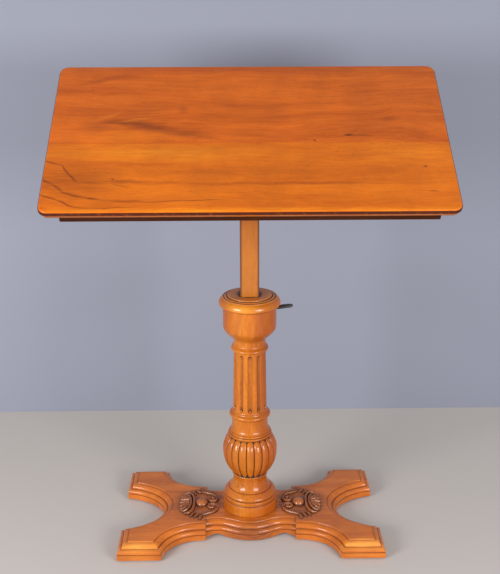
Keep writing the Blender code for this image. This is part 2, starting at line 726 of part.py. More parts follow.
def make_vase():
    """The gadrooned vase: every third step of the turning is a cut between two lobes."""
    hole = TIE_BOLT_RADIUS + GAP
    bite = TIE_BOLT_BITE + GAP
    profile = [(0.0, VASE_HEIGHT)] + shared_profile(VASE_SHARES, VASE_RADIUS, VASE_HEIGHT)
    profile += [(hole, 0.0), (hole, bite), (0.0, bite)]
    vase = turned("gadrooned_vase", profile, move(z=VASE_Z), steps=3 * LOBE_COUNT)
    low = LOBE_SPAN_SHARES[0] * VASE_HEIGHT
    high = LOBE_SPAN_SHARES[1] * VASE_HEIGHT
    for vertex in vase.data.vertices:
        level = (vertex.co.z - low) / (high - low)
        if not 0.0 < level < 1.0:
            continue
        angle = math.atan2(vertex.co.y, vertex.co.x) + math.pi / 2
        if math.cos(angle * LOBE_COUNT + math.pi) < 0.9:
            continue
        radius = Vector((vertex.co.x, vertex.co.y)).length
        if radius < BORE_HALF:
            continue
        share = 1 - LOBE_DEPTH * math.sin(math.pi * level) ** 0.4 / radius
        vertex.co.x *= share
        vertex.co.y *= share
    cut_bore(vase)
    drill(vase, "waist_dowel", "shaft_dowel")
    return finish(vase, COLUMN_WOOD)


def flute_cutter():
    """Round-ended gouges all round the shaft, following its taper."""
    low = SHAFT_SHARES[-2]
    high = SHAFT_SHARES[-3]
    low_point = Vector((low[0] * SHAFT_RADIUS, 0, low[1] * SHAFT_HEIGHT + FLUTE_MARGIN))
    high_point = Vector((high[0] * SHAFT_RADIUS, 0, high[1] * SHAFT_HEIGHT - FLUTE_MARGIN))
    run = high_point - low_point
    work = bmesh.new()
    out = FLUTE_RADIUS - FLUTE_DEPTH
    for index in range(FLUTE_COUNT):
        ball = bmesh.ops.create_uvsphere(
            work, u_segments=FLUTE_SIDES, v_segments=FLUTE_SIDES - 4, radius=FLUTE_RADIUS)["verts"]
        for vertex in ball:
            lift = FLUTE_RADIUS if vertex.co.z <= FLUTE_RADIUS / 10 else run.length - FLUTE_RADIUS
            vertex.co.z += lift
            vertex.co.x += out
        turn = Matrix.Rotation(math.atan2(run.x, run.z), 4, "Y")
        place = Matrix.Rotation(2 * math.pi * index / FLUTE_COUNT - math.pi / 2, 4, "Z")
        bmesh.ops.transform(work, matrix=place @ Matrix.Translation(low_point) @ turn, verts=ball)
    mesh = bpy.data.meshes.new("flutes")
    work.to_mesh(mesh)
    work.free()
    return make_object("flutes", mesh, move(z=SHAFT_Z))


def make_shaft():
    """The fluted shaft."""
    profile = solid_profile(SHAFT_SHARES, SHAFT_RADIUS, SHAFT_HEIGHT)
    shaft = turned("fluted_shaft", profile, move(z=SHAFT_Z), steps=3 * FLUTE_COUNT)
    cut(shaft, flute_cutter())
    cut_bore(shaft)
    drill(shaft, "shaft_dowel", "collar_dowel")
    return finish(shaft, COLUMN_WOOD)


def make_collar():
    """The turned collar with the pocket of the brake."""
    profile = solid_profile(COLLAR_SHARES, COLLAR_RADIUS, COLLAR_HEIGHT)
    collar = turned("collar_cup", profile, move(z=COLLAR_Z))
    cut_bore(collar)
    top = COLLAR_Z + COLLAR_HEIGHT
    low = (POST_HALF, -POCKET_WIDTH / 2, POCKET_FLOOR)
    high = (BORE_HALF + POCKET_DEPTH, POCKET_WIDTH / 2, top + OVERRUN)
    cut(collar, box("brake_pocket", low, high))
    mouth_top = LEVER_Z + GAP
    low = (LEVER_X, -MOUTH_WIDTH / 2, mouth_top - MOUTH_HEIGHT)
    high = (COLLAR_RADIUS + OVERRUN, MOUTH_WIDTH / 2, mouth_top)
    cut(collar, box("lever_mouth", low, high))
    length = lever_pin_length() + 2 * GAP
    place = move(LEVER_X, -length / 2, LEVER_Z, TO_BACK)
    cut(collar, rod("lever_pin_hole", LEVER_PIN_RADIUS + GAP, length, place, sides=10))
    place = move(0, POST_HALF, STOP_Z, TO_BACK)
    cut(collar, rod("stop_hole", STOP_RADIUS + GAP, COLLAR_RADIUS, place, sides=10))
    place = move(0, stop_head_y() - GAP, STOP_Z, TO_BACK)
    cut(collar, rod("stop_recess", STOP_HEAD_RADIUS + GAP, COLLAR_RADIUS, place, sides=16))
    drill(collar, "collar_dowel")
    cut(collar, cap_dowel("collar_cap_dowel_hole", GAP))
    return finish(collar, COLUMN_WOOD)


def cap_dowel(name, play=0.0):
    """The short dowel between the collar and its cap, or its hole."""
    length = CAP_DOWEL_LENGTH + 2 * play
    place = move(-CAP_JOINT_DOWEL, 0, CAP_Z - GAP / 2 - length / 2)
    return rod(name, DOWEL_RADIUS + play, length, place, sides=8)


def make_cap():
    """The moulded disc that guides the post and closes the pocket."""
    profile = solid_profile(CAP_SHARES, CAP_RADIUS, CAP_HEIGHT)
    cap = turned("collar_cap", profile, move(z=CAP_Z))
    cut_bore(cap)
    cut(cap, cap_dowel("cap_dowel_hole", GAP))
    return finish(cap, DARK_CAP_WOOD)


def make_column_dowels():
    """One dowel for each joint of the column, to keep its turnings in line."""
    for name, (joint_z, radius_place) in COLUMN_JOINTS.items():
        finish(smooth(column_dowel(name, joint_z, radius_place)), PLAIN_WOOD)
    finish(smooth(cap_dowel("cap_dowel")), PLAIN_WOOD)


def stop_head_y():
    """Inner face of the stop screw's head, sunk flush in the collar wall."""
    return COLLAR_WALL_SHARE * COLLAR_RADIUS - STOP_HEAD_HEIGHT - GAP


def make_stop_screw():
    """The screw whose tip runs in the post's groove."""
    tip = POST_HALF - STOP_BITE
    head = stop_head_y()
    outline = [
        (0.0, head + STOP_HEAD_HEIGHT), (STOP_HEAD_RADIUS, head + STOP_HEAD_HEIGHT),
        (STOP_HEAD_RADIUS, head), (STOP_RADIUS, head), (STOP_RADIUS, tip), (0.0, tip)]
    return finish(turned("stop_screw", outline, move(z=STOP_Z, turn=TO_BACK), steps=12), STEEL)


def make_buffer():
    """The felt pad that the lowered post lands on."""
    half = BUFFER_WIDTH / 2
    low = (-half, -half, BORE_FLOOR + GAP)
    high = (half, half, BORE_FLOOR + GAP + BUFFER_HEIGHT)
    return finish(box("post_buffer", low, high), FELT)


def lever_pin_length():
    """The lever's pin runs into the collar on both sides of its pocket."""
    return POCKET_WIDTH + 2 * LEVER_PIN_BITE


def make_lever_pin():
    """The pin that the lever turns on."""
    length = lever_pin_length()
    place = move(LEVER_X, -length / 2, LEVER_Z, TO_BACK)
    return finish(smooth(rod("lever_pin", LEVER_PIN_RADIUS, length, place, sides=10)), STEEL)


def make_shoe():
    """The brass shoe between the lever's nose and the post."""
    half = POCKET_WIDTH / 2 - SHOE_SIDE_PLAY
    low = (POST_HALF + GAP, -half, POCKET_FLOOR + GAP)
    high = (POST_HALF + GAP + SHOE_THICKNESS, half, POCKET_FLOOR + GAP + SHOE_HEIGHT)
    return finish(box("brake_shoe", low, high), BRASS)


def make_lever_spring():
    """A torsion spring round the lever's pin, with a leg down to the pocket's floor."""
    curve = bpy.data.curves.new("lever_spring", "CURVE")
    curve.dimensions = "3D"
    curve.bevel_depth = SPRING_WIRE / 2
    curve.bevel_resolution = 0
    curve.use_fill_caps = True
    start = LEVER_WIDTH / 2 + SPRING_WIRE
    floor = POCKET_FLOOR - LEVER_Z + GAP
    points = [(-SPRING_RADIUS, start, floor)]
    for step in range(SPRING_TURNS * SPRING_POINTS + 1):
        angle = math.pi + 2 * math.pi * step / SPRING_POINTS
        across = start + SPRING_PITCH * step / SPRING_POINTS
        points.append((SPRING_RADIUS * math.cos(angle), across, SPRING_RADIUS * math.sin(angle)))
    points.append((-SPRING_RADIUS, start + SPRING_PITCH * SPRING_TURNS, -SPRING_LEG))
    spline = curve.splines.new("POLY")
    spline.points.add(len(points) - 1)
    for spot, point in zip(spline.points, points):
        spot.co = (*point, 1.0)
    spring = make_object("lever_spring", curve, move(LEVER_X, 0, LEVER_Z))
    return finish(smooth(as_mesh(spring), 60), DARK_STEEL)


def lever_centreline():
    """Side view of the lever's arm, from its hub to its thumb plate."""
    reach = LEVER_REACH - THUMB_LENGTH / 2
    points = [Vector((share * LEVER_REACH, drop * LEVER_DROP)) for share, drop in LEVER_SHARES]
    return points + [Vector((reach, LEVER_LIFT * (1 - THUMB_LENGTH / LEVER_REACH)))]


def strip_outline(points, width):
    """Outline of a strip of one width along a line of points."""
    upper, lower = [], []
    for index, point in enumerate(points):
        before = points[max(index - 1, 0)]
        after = points[min(index + 1, len(points) - 1)]
        along = (after - before).normalized()
        normal = Vector((-along.y, along.x)) * width / 2
        upper.append(tuple(point + normal))
        lower.append(tuple(point - normal))
    return lower + upper[::-1]


def make_lever(hinge):
    """The release lever: nose, hub, arm and thumb plate in one piece."""
    arm = flat_shape(
        "release_lever", [strip_outline(lever_centreline(), LEVER_THICKNESS)], LEVER_WIDTH,
        FACING_BACK, hinge)
    hub = rod("lever_hub", LEVER_HUB_RADIUS, LEVER_WIDTH, move(y=-LEVER_WIDTH / 2, turn=TO_BACK), hinge)
    cut(arm, hub, "UNION")
    nose_tip = POST_HALF + SHOE_THICKNESS + 2 * GAP - LEVER_X
    nose_low = (nose_tip, -LEVER_WIDTH / 2, GAP)
    cut(arm, box("lever_nose", nose_low, (0, LEVER_WIDTH / 2, NOSE_HEIGHT), hinge), "UNION")
    work = bmesh.new()
    bmesh.ops.create_uvsphere(work, u_segments=12, v_segments=6, radius=0.5)
    bmesh.ops.scale(work, vec=(THUMB_LENGTH, THUMB_WIDTH, THUMB_THICKNESS), verts=work.verts)
    mesh = bpy.data.meshes.new("lever_thumb")
    work.to_mesh(mesh)
    work.free()
    slope = Matrix.Rotation(-math.atan2(2 * LEVER_LIFT, LEVER_REACH), 4, "Y")
    place = move(LEVER_REACH - THUMB_LENGTH / 2, 0, LEVER_LIFT, slope)
    thumb = make_object("lever_thumb", mesh, place, hinge)
    cut(arm, thumb, "UNION")
    length = LEVER_WIDTH + 2 * OVERRUN
    hole = rod("lever_bore", LEVER_PIN_RADIUS + GAP, length, move(y=-length / 2, turn=TO_BACK), hinge, 10)
    cut(arm, hole)
    return finish(smooth(arm), DARK_STEEL)


def make_post(slide):
    """The square post, with the groove of its stop and the holes of hinge and clamp."""
    low = (-POST_HALF, -POST_HALF, POST_BOTTOM - HINGE_Z)
    high = (POST_HALF, POST_HALF, POST_TOP - HINGE_Z)
    post = box("square_post", low, high, slide)
    bevel = post.modifiers.new("arris", "BEVEL")
    bevel.width = POST_ARRIS
    bevel.segments = 2
    groove_low = STOP_Z - POST_RISE - GROOVE_WIDTH / 2
    groove_high = STOP_Z + POST_DROP + GROOVE_WIDTH / 2
    low = (-GROOVE_WIDTH / 2, POST_HALF - GROOVE_DEPTH, groove_low - HINGE_Z)
    high = (GROOVE_WIDTH / 2, POST_HALF + OVERRUN, groove_high - HINGE_Z)
    cut(post, box("post_groove", low, high, slide))
    length = POST_WIDTH + 2 * OVERRUN
    place = move(-length / 2, 0, 0, TO_RIGHT)
    cut(post, rod("post_hinge_bore", HINGE_BOLT_RADIUS + GAP, length, place, slide, 20))
    depth = BUSH_LENGTH + 2 * GAP
    place = move(POST_HALF - depth, 0, CLAMP_Z - HINGE_Z, TO_RIGHT)
    cut(post, rod("post_bush_hole", BUSH_RADIUS + GAP, depth + OVERRUN, place, slide, 20))
    return finish(post, COLUMN_WOOD)


def make_hinge(slide):
    """The hinge bolt with its nut and washers, carried by the post."""
    end = BOLT_HEAD_X + HINGE_HEAD_HEIGHT
    outline = [
        (0.0, end), (HINGE_HEAD_RADIUS, end), (HINGE_HEAD_RADIUS, BOLT_HEAD_X),
        (HINGE_BOLT_RADIUS, BOLT_HEAD_X), (HINGE_BOLT_RADIUS, -end), (0.0, -end)]
    finish(turned("hinge_bolt", outline, TO_RIGHT, slide, steps=16), STEEL)
    nut = ring(
        "hinge_nut", HINGE_BOLT_RADIUS + GAP, HINGE_HEAD_RADIUS, HINGE_HEAD_HEIGHT,
        move(-end, turn=TO_RIGHT), slide, steps=12)
    finish(nut, STEEL)
    for side, x in (("left", -WASHER_X - HINGE_WASHER_HEIGHT), ("right", WASHER_X)):
        washer = ring(
            f"hinge_washer_{side}", HINGE_BOLT_RADIUS + GAP, HINGE_WASHER_RADIUS,
            HINGE_WASHER_HEIGHT, move(x, turn=TO_RIGHT), slide, steps=16)
        finish(washer, BRASS)


def make_clamp(slide, knob_hinge):
    """The clamp's bush in the post and its knob with the screw."""
    bush = ring(
        "clamp_bush", CLAMP_RADIUS + GAP, BUSH_RADIUS, BUSH_LENGTH,
        move(POST_HALF - BUSH_LENGTH, 0, CLAMP_Z - HINGE_Z, TO_RIGHT), slide, steps=16)
    finish(bush, BRASS)
    washer = ring(
        "clamp_washer", CLAMP_RADIUS + GAP, CLAMP_WASHER_RADIUS, CLAMP_WASHER_HEIGHT,
        move(CLAMP_WASHER_X, turn=TO_RIGHT), knob_hinge, steps=16)
    finish(washer, BRASS)
    knob = [
        (share * CLAMP_KNOB_RADIUS, KNOB_X + level * CLAMP_KNOB_HEIGHT)
        for share, level in CLAMP_KNOB_SHARES]
    tip = KNOB_X - CLAMP_LENGTH
    outline = [(0.0, knob[0][1])] + knob + [(CLAMP_RADIUS, KNOB_X), (CLAMP_RADIUS, tip), (0.0, tip)]
    finish(turned("clamp_knob", outline, TO_RIGHT, knob_hinge, steps=24), BRASS)


def top_outline():
    """Plan of the top with rounded corners, anticlockwise from the front right."""
    half = TOP_LENGTH / 2 - TOP_CORNER_RADIUS
    rear = TOP_FRONT + TOP_DEPTH - TOP_CORNER_RADIUS
    front = TOP_FRONT + TOP_CORNER_RADIUS
    points = []
    for index, centre in enumerate(((half, front), (half, rear), (-half, rear), (-half, front))):
        start = math.radians(90) * (index - 1)
        points += circle_points(TOP_CORNER_RADIUS, start, start + math.radians(90), CORNER_STEPS, centre)
    return points


def make_board(name, tilt, keep_front, look):
    """One of the two boards, sawn from the moulded top at their joint."""
    low = BOARD_UNDER + TOP_UNDERCUT_HEIGHT
    high = BOARD_UNDER + TOP_THICKNESS - TOP_FACE_ROUND
    round_edge = [(TOP_SQUARE_SHARE * TOP_FACE_ROUND, 0.5 * TOP_FACE_ROUND), (TOP_FACE_ROUND, TOP_FACE_ROUND)]
    undercut = [(inset * TOP_UNDERCUT, depth * TOP_UNDERCUT_HEIGHT) for inset, depth in TOP_UNDERCUT_SHARES]
    board = moulded_slab(name, top_outline(), low, high, round_edge, undercut, UPRIGHT, tilt)
    side = 1 if keep_front else -1
    keep_side(board, (0, BOARD_JOINT - side * GAP / 2, 0), (0, side, 0))
    for side in (-1, 1):
        cut(board, board_dowel(f"{name}_dowel_hole_{side}", side, tilt, GAP))
    return finish(board, look)


def board_dowel(name, side, tilt, play=0.0):
    """A dowel across the joint of the two boards, or its hole."""
    length = BOARD_DOWEL_LENGTH + 2 * play
    middle = BOARD_UNDER + TOP_THICKNESS / 2
    place = move(side * BOARD_DOWEL_PLACE, BOARD_JOINT - length / 2, middle, TO_BACK)
    return rod(name, BOARD_DOWEL_RADIUS + play, length, place, tilt, 8)


def screw_places():
    """Plan places of the screws that hold the frame to the boards."""
    long_x = FRAME_END * LONG_RAIL_SCREWS_SHARE
    front = FRAME_FRONT + RAIL_WIDTH / 2
    rear = FRAME_REAR - RAIL_WIDTH / 2
    bearer_x = BEARER_X + BEARER_WIDTH / 2
    end_x = FRAME_END - RAIL_WIDTH / 2
    span = (BEARER_REAR - BEARER_FRONT) / 2 * BEARER_SCREWS_SHARE
    middle = (BEARER_REAR + BEARER_FRONT) / 2
    places = {
        "frame_rail_front": [(-long_x, front), (long_x, front)],
        "frame_rail_rear": [(-long_x, rear), (long_x, rear)],
        "bearer_left": [(-bearer_x, middle - span), (-bearer_x, middle + span)],
        "bearer_right": [(bearer_x, middle - span), (bearer_x, middle + span)],
        "frame_rail_left": [(-end_x, middle)],
        "frame_rail_right": [(end_x, middle)]}
    return places


def frame_screw(name, x, y, play, parent=None):
    """A countersunk screw from under a rail into a board, or its hole."""
    base = RAIL_BOTTOM + GAP - (GAP + OVERRUN if play else 0.0)
    head = RAIL_BOTTOM + GAP + SCREW_HEAD_HEIGHT
    tip = BOARD_UNDER + SCREW_BITE + play
    head_radius = SCREW_HEAD_RADIUS + play
    shank = SCREW_SHANK_RADIUS + play
    outline = [
        (0.0, tip), (shank, tip), (shank, head), (head_radius, RAIL_BOTTOM + GAP),
        (head_radius, base), (0.0, base)]
    if not play:
        outline.pop(4)
    return turned(name, outline, move(x, y), parent, steps=SCREW_SIDES)


def drill_screws(item, spots, tilt):
    """Countersunk holes at the places given."""
    for index, (x, y) in enumerate(spots):
        cut(item, frame_screw(f"{item.name}_hole_{index}", x, y, GAP, tilt))


def make_rail(name, low, high, tilt):
    """A straight rail of the frame with softened edges."""
    rail = box(name, (low[0], low[1], RAIL_BOTTOM), (high[0], high[1], RAIL_TOP), tilt)
    bevel = rail.modifiers.new("chamfer", "BEVEL")
    bevel.width = RAIL_CHAMFER
    bevel.segments = 1
    drill_screws(rail, screw_places()[name], tilt)
    return finish(rail, PLAIN_WOOD)


def make_rails(tilt):
    """The four rails of the frame."""
    inner = FRAME_END - RAIL_WIDTH
    make_rail("frame_rail_front", (-FRAME_END, FRAME_FRONT), (FRAME_END, FRAME_FRONT + RAIL_WIDTH), tilt)
    make_rail("frame_rail_rear", (-FRAME_END, FRAME_REAR - RAIL_WIDTH), (FRAME_END, FRAME_REAR), tilt)
    make_rail("frame_rail_left", (-FRAME_END, BEARER_FRONT), (-inner, BEARER_REAR), tilt)
    make_rail("frame_rail_right", (inner, BEARER_FRONT), (FRAME_END, BEARER_REAR), tilt)


def make_bearer(name, side, tilt):
    """A bearer between front and rear rail, with the boss that turns on the hinge bolt."""
    middle = side * (BEARER_X + BEARER_WIDTH / 2)
    half = BEARER_WIDTH / 2 - BEARER_SHOULDER
    low = (middle - half, BEARER_FRONT, RAIL_BOTTOM)
    high = (middle + half, BEARER_REAR, RAIL_TOP)
    bearer = box(name, low, high, tilt)
    web_top = RAIL_BOTTOM + RAIL_HEIGHT / 2
    outline = [(-BEARER_BOSS_REACH, web_top), (-BEARER_BOSS_REACH, RAIL_BOTTOM - RAIL_CHAMFER)]
    outline += circle_points(BEARER_BOSS_RADIUS, math.radians(200), math.radians(340), 10)
    outline += [(BEARER_BOSS_REACH, RAIL_BOTTOM - RAIL_CHAMFER), (BEARER_BOSS_REACH, web_top)]
    place = move(middle, turn=FACING_X)
    cut(bearer, flat_shape(f"{name}_web", [outline], BEARER_WIDTH, place, tilt), "UNION")
    length = BEARER_WIDTH + 2 * OVERRUN
    place = move(middle - length / 2, turn=TO_RIGHT)
    cut(bearer, rod(f"{name}_bore", HINGE_BOLT_RADIUS + GAP, length, place, tilt, 20))
    drill_screws(bearer, screw_places()[name], tilt)
    return finish(bearer, PLAIN_WOOD)


def make_frame_screws(tilt):
    """All the screws that hold the frame to the boards."""
    for rail, spots in screw_places().items():
        for index, (x, y) in enumerate(spots, 1):
            finish(frame_screw(f"{rail}_screw_{index}", x, y, 0.0, tilt), STEEL)


def below_hinge(radius, angle):
    """A point of the stay, turned towards the front from straight under the hinge."""
    return (-radius * math.sin(angle), -radius * math.cos(angle))


def stay_arc(radius, start, end):
    """Points along the stay's arc."""
    span = end - start
    return [below_hinge(radius, start + span * step / STAY_STEPS) for step in range(STAY_STEPS + 1)]


def stay_outline():
    """The stay: boss on the hinge bolt, arm, slotted arc, and pad on the bearer."""
    outer = SLOT_RADIUS + STAY_BAND / 2
    inner = SLOT_RADIUS - STAY_BAND / 2
    front = below_hinge(outer, STAY_END)
    pad_front = front[0]
    pad_rear = front[0] + STAY_PAD_LENGTH
    arm_half = STAY_ARM / 2
    arm_start = math.asin(arm_half / inner)
    outline = stay_arc(outer, -STAY_TAIL, STAY_END)
    outline += [(pad_front, STAY_PAD_LIFT + STAY_PAD_HEIGHT), (pad_rear, STAY_PAD_LIFT + STAY_PAD_HEIGHT)]
    outline += [(pad_rear, STAY_PAD_LIFT), (pad_front + STAY_BAND, STAY_PAD_LIFT - STAY_BAND)]
    outline += stay_arc(inner, STAY_END, arm_start)
    boss_edge = math.asin(arm_half / FRICTION_RADIUS)
    start = math.radians(270) - boss_edge
    end = math.radians(270) + boss_edge - math.radians(360)
    outline += circle_points(FRICTION_RADIUS, start, end, 14)
    return outline


def slot_outline():
    """The slot that the clamp screw passes through."""
    half = SLOT_WIDTH / 2
    first, last = -STAY_SLOT_TAIL, STAY_SLOT_END
    points = stay_arc(SLOT_RADIUS + half, first, last)
    turn = math.radians(270) - last
    points += circle_points(half, turn, turn - math.radians(180), 6, below_hinge(SLOT_RADIUS, last))[1:-1]
    points += stay_arc(SLOT_RADIUS - half, last, first)
    turn = math.radians(90) - first
    points += circle_points(half, turn, turn - math.radians(180), 6, below_hinge(SLOT_RADIUS, first))[1:-1]
    return points


def stay_screw_places():
    """Where the quadrant's screws end in the right bearer, pointing back to their heads."""
    pad_front = below_hinge(SLOT_RADIUS + STAY_BAND / 2, STAY_END)[0]
    z = STAY_PAD_LIFT + STAY_PAD_HEIGHT / 2
    tip = BEARER_X + SCREW_BITE
    return [move(tip, pad_front + share * STAY_PAD_LENGTH, z, TO_LEFT) for share in STAY_SCREW_SHARES]


def make_stay(tilt):
    """The slotted quadrant between the post and the right bearer, with its screws."""
    hole = circle_points(HINGE_BOLT_RADIUS + GAP, 0, math.radians(360), 20)[:-1]
    place = move(PLATE_X + SIDE_PLATE_THICKNESS / 2, turn=FACING_X)
    stay = flat_shape(
        "quadrant_stay", [stay_outline(), slot_outline(), hole], SIDE_PLATE_THICKNESS, place, tilt)
    bearer = bpy.data.objects["bearer_right"]
    seat = BEARER_X + SCREW_BITE - PLATE_X + GAP
    for index, spot in enumerate(stay_screw_places(), 1):
        outline = [
            (0.0, seat + SCREW_HEAD_HEIGHT), (SCREW_HEAD_ROUND * SCREW_HEAD_RADIUS, seat + SCREW_HEAD_HEIGHT),
            (SCREW_HEAD_RADIUS, seat), (SCREW_SHANK_RADIUS, seat), (SCREW_SHANK_RADIUS, 0.0), (0.0, 0.0)]
        finish(turned(f"quadrant_screw_{index}", outline, spot, tilt, steps=SCREW_SIDES), STEEL)
        for target in (stay, bearer):
            start = spot @ move(z=-GAP)
            name = f"{target.name}_stay_hole_{index}"
            cut(target, rod(name, SCREW_SHANK_RADIUS + GAP, seat + OVERRUN, start, tilt, SCREW_SIDES))
    return finish(stay, BRASS)


def make_friction_washer(tilt):
    """The leather washer that steadies the hinge on the left."""
    washer = ring(
        "friction_washer", HINGE_BOLT_RADIUS + GAP, FRICTION_RADIUS, SIDE_PLATE_THICKNESS,
        move(-PLATE_X - SIDE_PLATE_THICKNESS, turn=TO_RIGHT), tilt, steps=20)
    return finish(washer, LEATHER)


def make_base():
    """Base, pads and carvings."""
    make_block()
    make_wing("base_wing_left", -1)
    make_wing("base_wing_right", 1)
    for side, x in (("left", -1), ("right", 1)):
        finish(base_tongue(f"base_tongue_{side}", x), PLAIN_WOOD)
    make_pads()
    make_carving("carving_left", -1)
    make_carving("carving_right", 1)


def make_column():
    """The turned column with its joinery and brake."""
    make_column_foot()
    make_vase()
    make_shaft()
    make_collar()
    make_cap()
    make_column_dowels()
    make_tie_bolt()
    make_stop_screw()
    make_buffer()
    make_lever_pin()
    make_lever_spring()
    make_shoe()
    make_lever(empty("lever_hinge", move(LEVER_X, 0, LEVER_Z)))


def make_top(tilt):
    """Boards, frame and stay."""
    make_board("top_board_front", tilt, True, BOARD_WOOD)
    make_board("top_board_rear", tilt, False, REAR_BOARD_WOOD)
    for name in ("top_board_front", "top_board_rear"):
        board = bpy.data.objects[name]
        front = name.endswith("front")
        for rail, spots in screw_places().items():
            near = [(x, y) for x, y in spots if (y < BOARD_JOINT) == front]
            for index, (x, y) in enumerate(near):
                cut(board, frame_screw(f"{name}_{rail}_hole_{index}", x, y, GAP, tilt))
    for side, x in (("left", -1), ("right", 1)):
        finish(smooth(board_dowel(f"board_dowel_{side}", x, tilt)), PLAIN_WOOD)
    make_rails(tilt)
    make_bearer("bearer_left", -1, tilt)
    make_bearer("bearer_right", 1, tilt)
    make_frame_screws(tilt)
    make_stay(tilt)
    make_friction_washer(tilt)


def main():
    """Build the table."""
    slide = empty("post_slide", move(z=HINGE_Z))
    tilt = empty("top_hinge", move(z=HINGE_Z, turn=Matrix.Rotation(TOP_TILT, 4, "X")))
    knob_hinge = empty("clamp_hinge", move(z=CLAMP_Z))
    make_base()
    make_column()
    make_post(slide)
    make_hinge(slide)
    make_clamp(slide, knob_hinge)
    make_top(tilt)


clear_scene()
PARTS = new_collection("tilting_reading_table")
CUTTERS = new_collection("cutters")
main()
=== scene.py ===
"""Looks of the tilting reading table: polished woods, carving, metal, leather, felt and studio."""

import math

import bmesh
import bpy
from mathutils import Matrix, Vector


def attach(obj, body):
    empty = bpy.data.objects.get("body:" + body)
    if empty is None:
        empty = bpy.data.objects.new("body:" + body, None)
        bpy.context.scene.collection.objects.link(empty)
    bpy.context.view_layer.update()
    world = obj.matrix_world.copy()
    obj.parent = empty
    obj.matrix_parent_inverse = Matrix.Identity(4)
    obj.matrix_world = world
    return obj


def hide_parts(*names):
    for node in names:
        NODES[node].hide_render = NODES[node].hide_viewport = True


bl_info = {
    "name": "Tilting reading table",
    "version": (1, 0, 0),
    "blender": (4, 5, 0),
    "location": "View3D > Sidebar > Reading table",
    "description": "Builds the visible woodwork, carving and metalwork of a tilting reading table",
    "category": "Object",
}

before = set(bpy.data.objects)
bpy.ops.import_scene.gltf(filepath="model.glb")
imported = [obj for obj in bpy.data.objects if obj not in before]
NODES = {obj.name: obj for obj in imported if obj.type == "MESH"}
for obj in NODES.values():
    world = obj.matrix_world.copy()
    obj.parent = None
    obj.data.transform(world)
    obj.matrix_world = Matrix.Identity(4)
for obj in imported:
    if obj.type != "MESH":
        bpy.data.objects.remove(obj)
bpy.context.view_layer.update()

MM = 0.001
GAP = 0.0003
# Parts of a smooth run between two of its points, and the least step in millimetres
RUN_PARTS, LEAST_STEP = 4, 0.05
LYING = Matrix.Rotation(math.radians(-90), 4, "X")
TILT = math.radians(31.8)
HINGE_Z = 0.7746
BORE_HALF = 0.0194
BOLT_HOLE = 0.0053
BORE_FLOOR = 161.9

# Turned profiles, top to bottom, as smooth runs of (height, radius) in millimetres
FOOT_RUNS = (
    ((108, 35.6), (104, 35.2), (98, 36.2), (92, 38.2), (88, 40.2), (85, 42.3), (83, 44.3)),
    ((82.2, 43.9), (81.6, 46.2)),
    ((81.2, 47.0), (79, 49.3), (76, 52.2), (73, 54.5), (70.5, 55.3), (68.6, 54.4), (67.6, 52.8)),
    ((66.4, 54.6), (65, 56.0), (63, 56.4), (60, 56.2), (57.6, 54.8)),
    ((56.4, 55.2), (55.2, 56.8), (54, 57.3), (48, 58.1), (40, 58.4), (36, 58.4), (34.8, 57.8)))
VASE_RUNS = (
    ((262, 37.0), (260.4, 37.4), (259, 38.2)),
    ((257.6, 40.3), (256, 42.2), (253.8, 43.0), (251.6, 42.4), (250, 40.2)),
    ((248.4, 38.2), (245, 37.7), (240, 37.5), (232, 37.4), (226, 38.0), (221, 39.4), (217, 42.0)),
    ((216.4, 41.5), (215.8, 43.0), (214.4, 43.9), (212.6, 43.9)),
    ((211.8, 43.4), (210.8, 45.4), (209.2, 46.0), (207.2, 45.5)),
    ((206.2, 44.6), (204, 46.2), (200, 48.6), (195.5, 51.5), (190, 54.0), (183, 56.2), (174, 57.2),
     (168, 57.1), (161, 56.7), (156, 56.2), (151, 55.2), (144, 52.9), (136, 49.3), (128, 45.2),
     (121.5, 41.2), (119, 39.4)),
    ((117.2, 37.0), (116.2, 37.7), (114.6, 37.7), (111.4, 36.0), (108.3, 35.6)))
SHAFT_RUNS = (
    ((406, 35.0), (405.4, 35.6)),
    ((404.9, 36.2), (404.2, 37.0), (402.4, 38.1), (400.4, 38.3), (398.8, 37.4), (398, 35.6)),
    ((397.2, 33.6), (396, 33.1), (394.5, 32.9)),
    ((394.5, 32.9), (264.5, 35.4)),
    ((264.5, 35.4), (263.2, 35.8), (262.3, 36.4)))
COLLAR_RUNS = (
    ((509.9, 56.6), (508.4, 58.5), (505.8, 60.8), (502.6, 62.3), (499.4, 62.95), (496.9, 62.5),
     (495.0, 60.8), (493.4, 57.9)),
    ((492.9, 56.2), (492.2, 54.5)),
    ((490, 54.5), (470, 54.5), (450, 54.5)),
    ((450, 54.5), (446, 53.9), (443, 52.6), (440, 50.7), (437, 48.4), (434, 45.6), (431, 42.6),
     (428, 39.4)),
    ((427.4, 38.2), (425.4, 36.4), (423, 34.4), (419, 33.1), (414, 32.7), (410, 33.0),
     (407.8, 34.4), (406.3, 36.4)))
CAP_RUNS = (
    ((516.5, 30.0), (516.6, 36.0), (516.6, 42.4), (516.3, 43.6), (515.5, 44.5), (514.5, 44.9)),
    ((513.6, 45.4), (513.2, 46.2)),
    ((513.6, 47.0), (514.1, 48.0), (514.1, 49.2), (513.7, 50.2), (513.0, 50.9)),
    ((512.2, 51.5), (511.8, 52.2)),
    ((512.3, 52.9), (512.6, 53.8), (512.3, 55.0), (511.4, 55.9), (510.2, 55.8)))

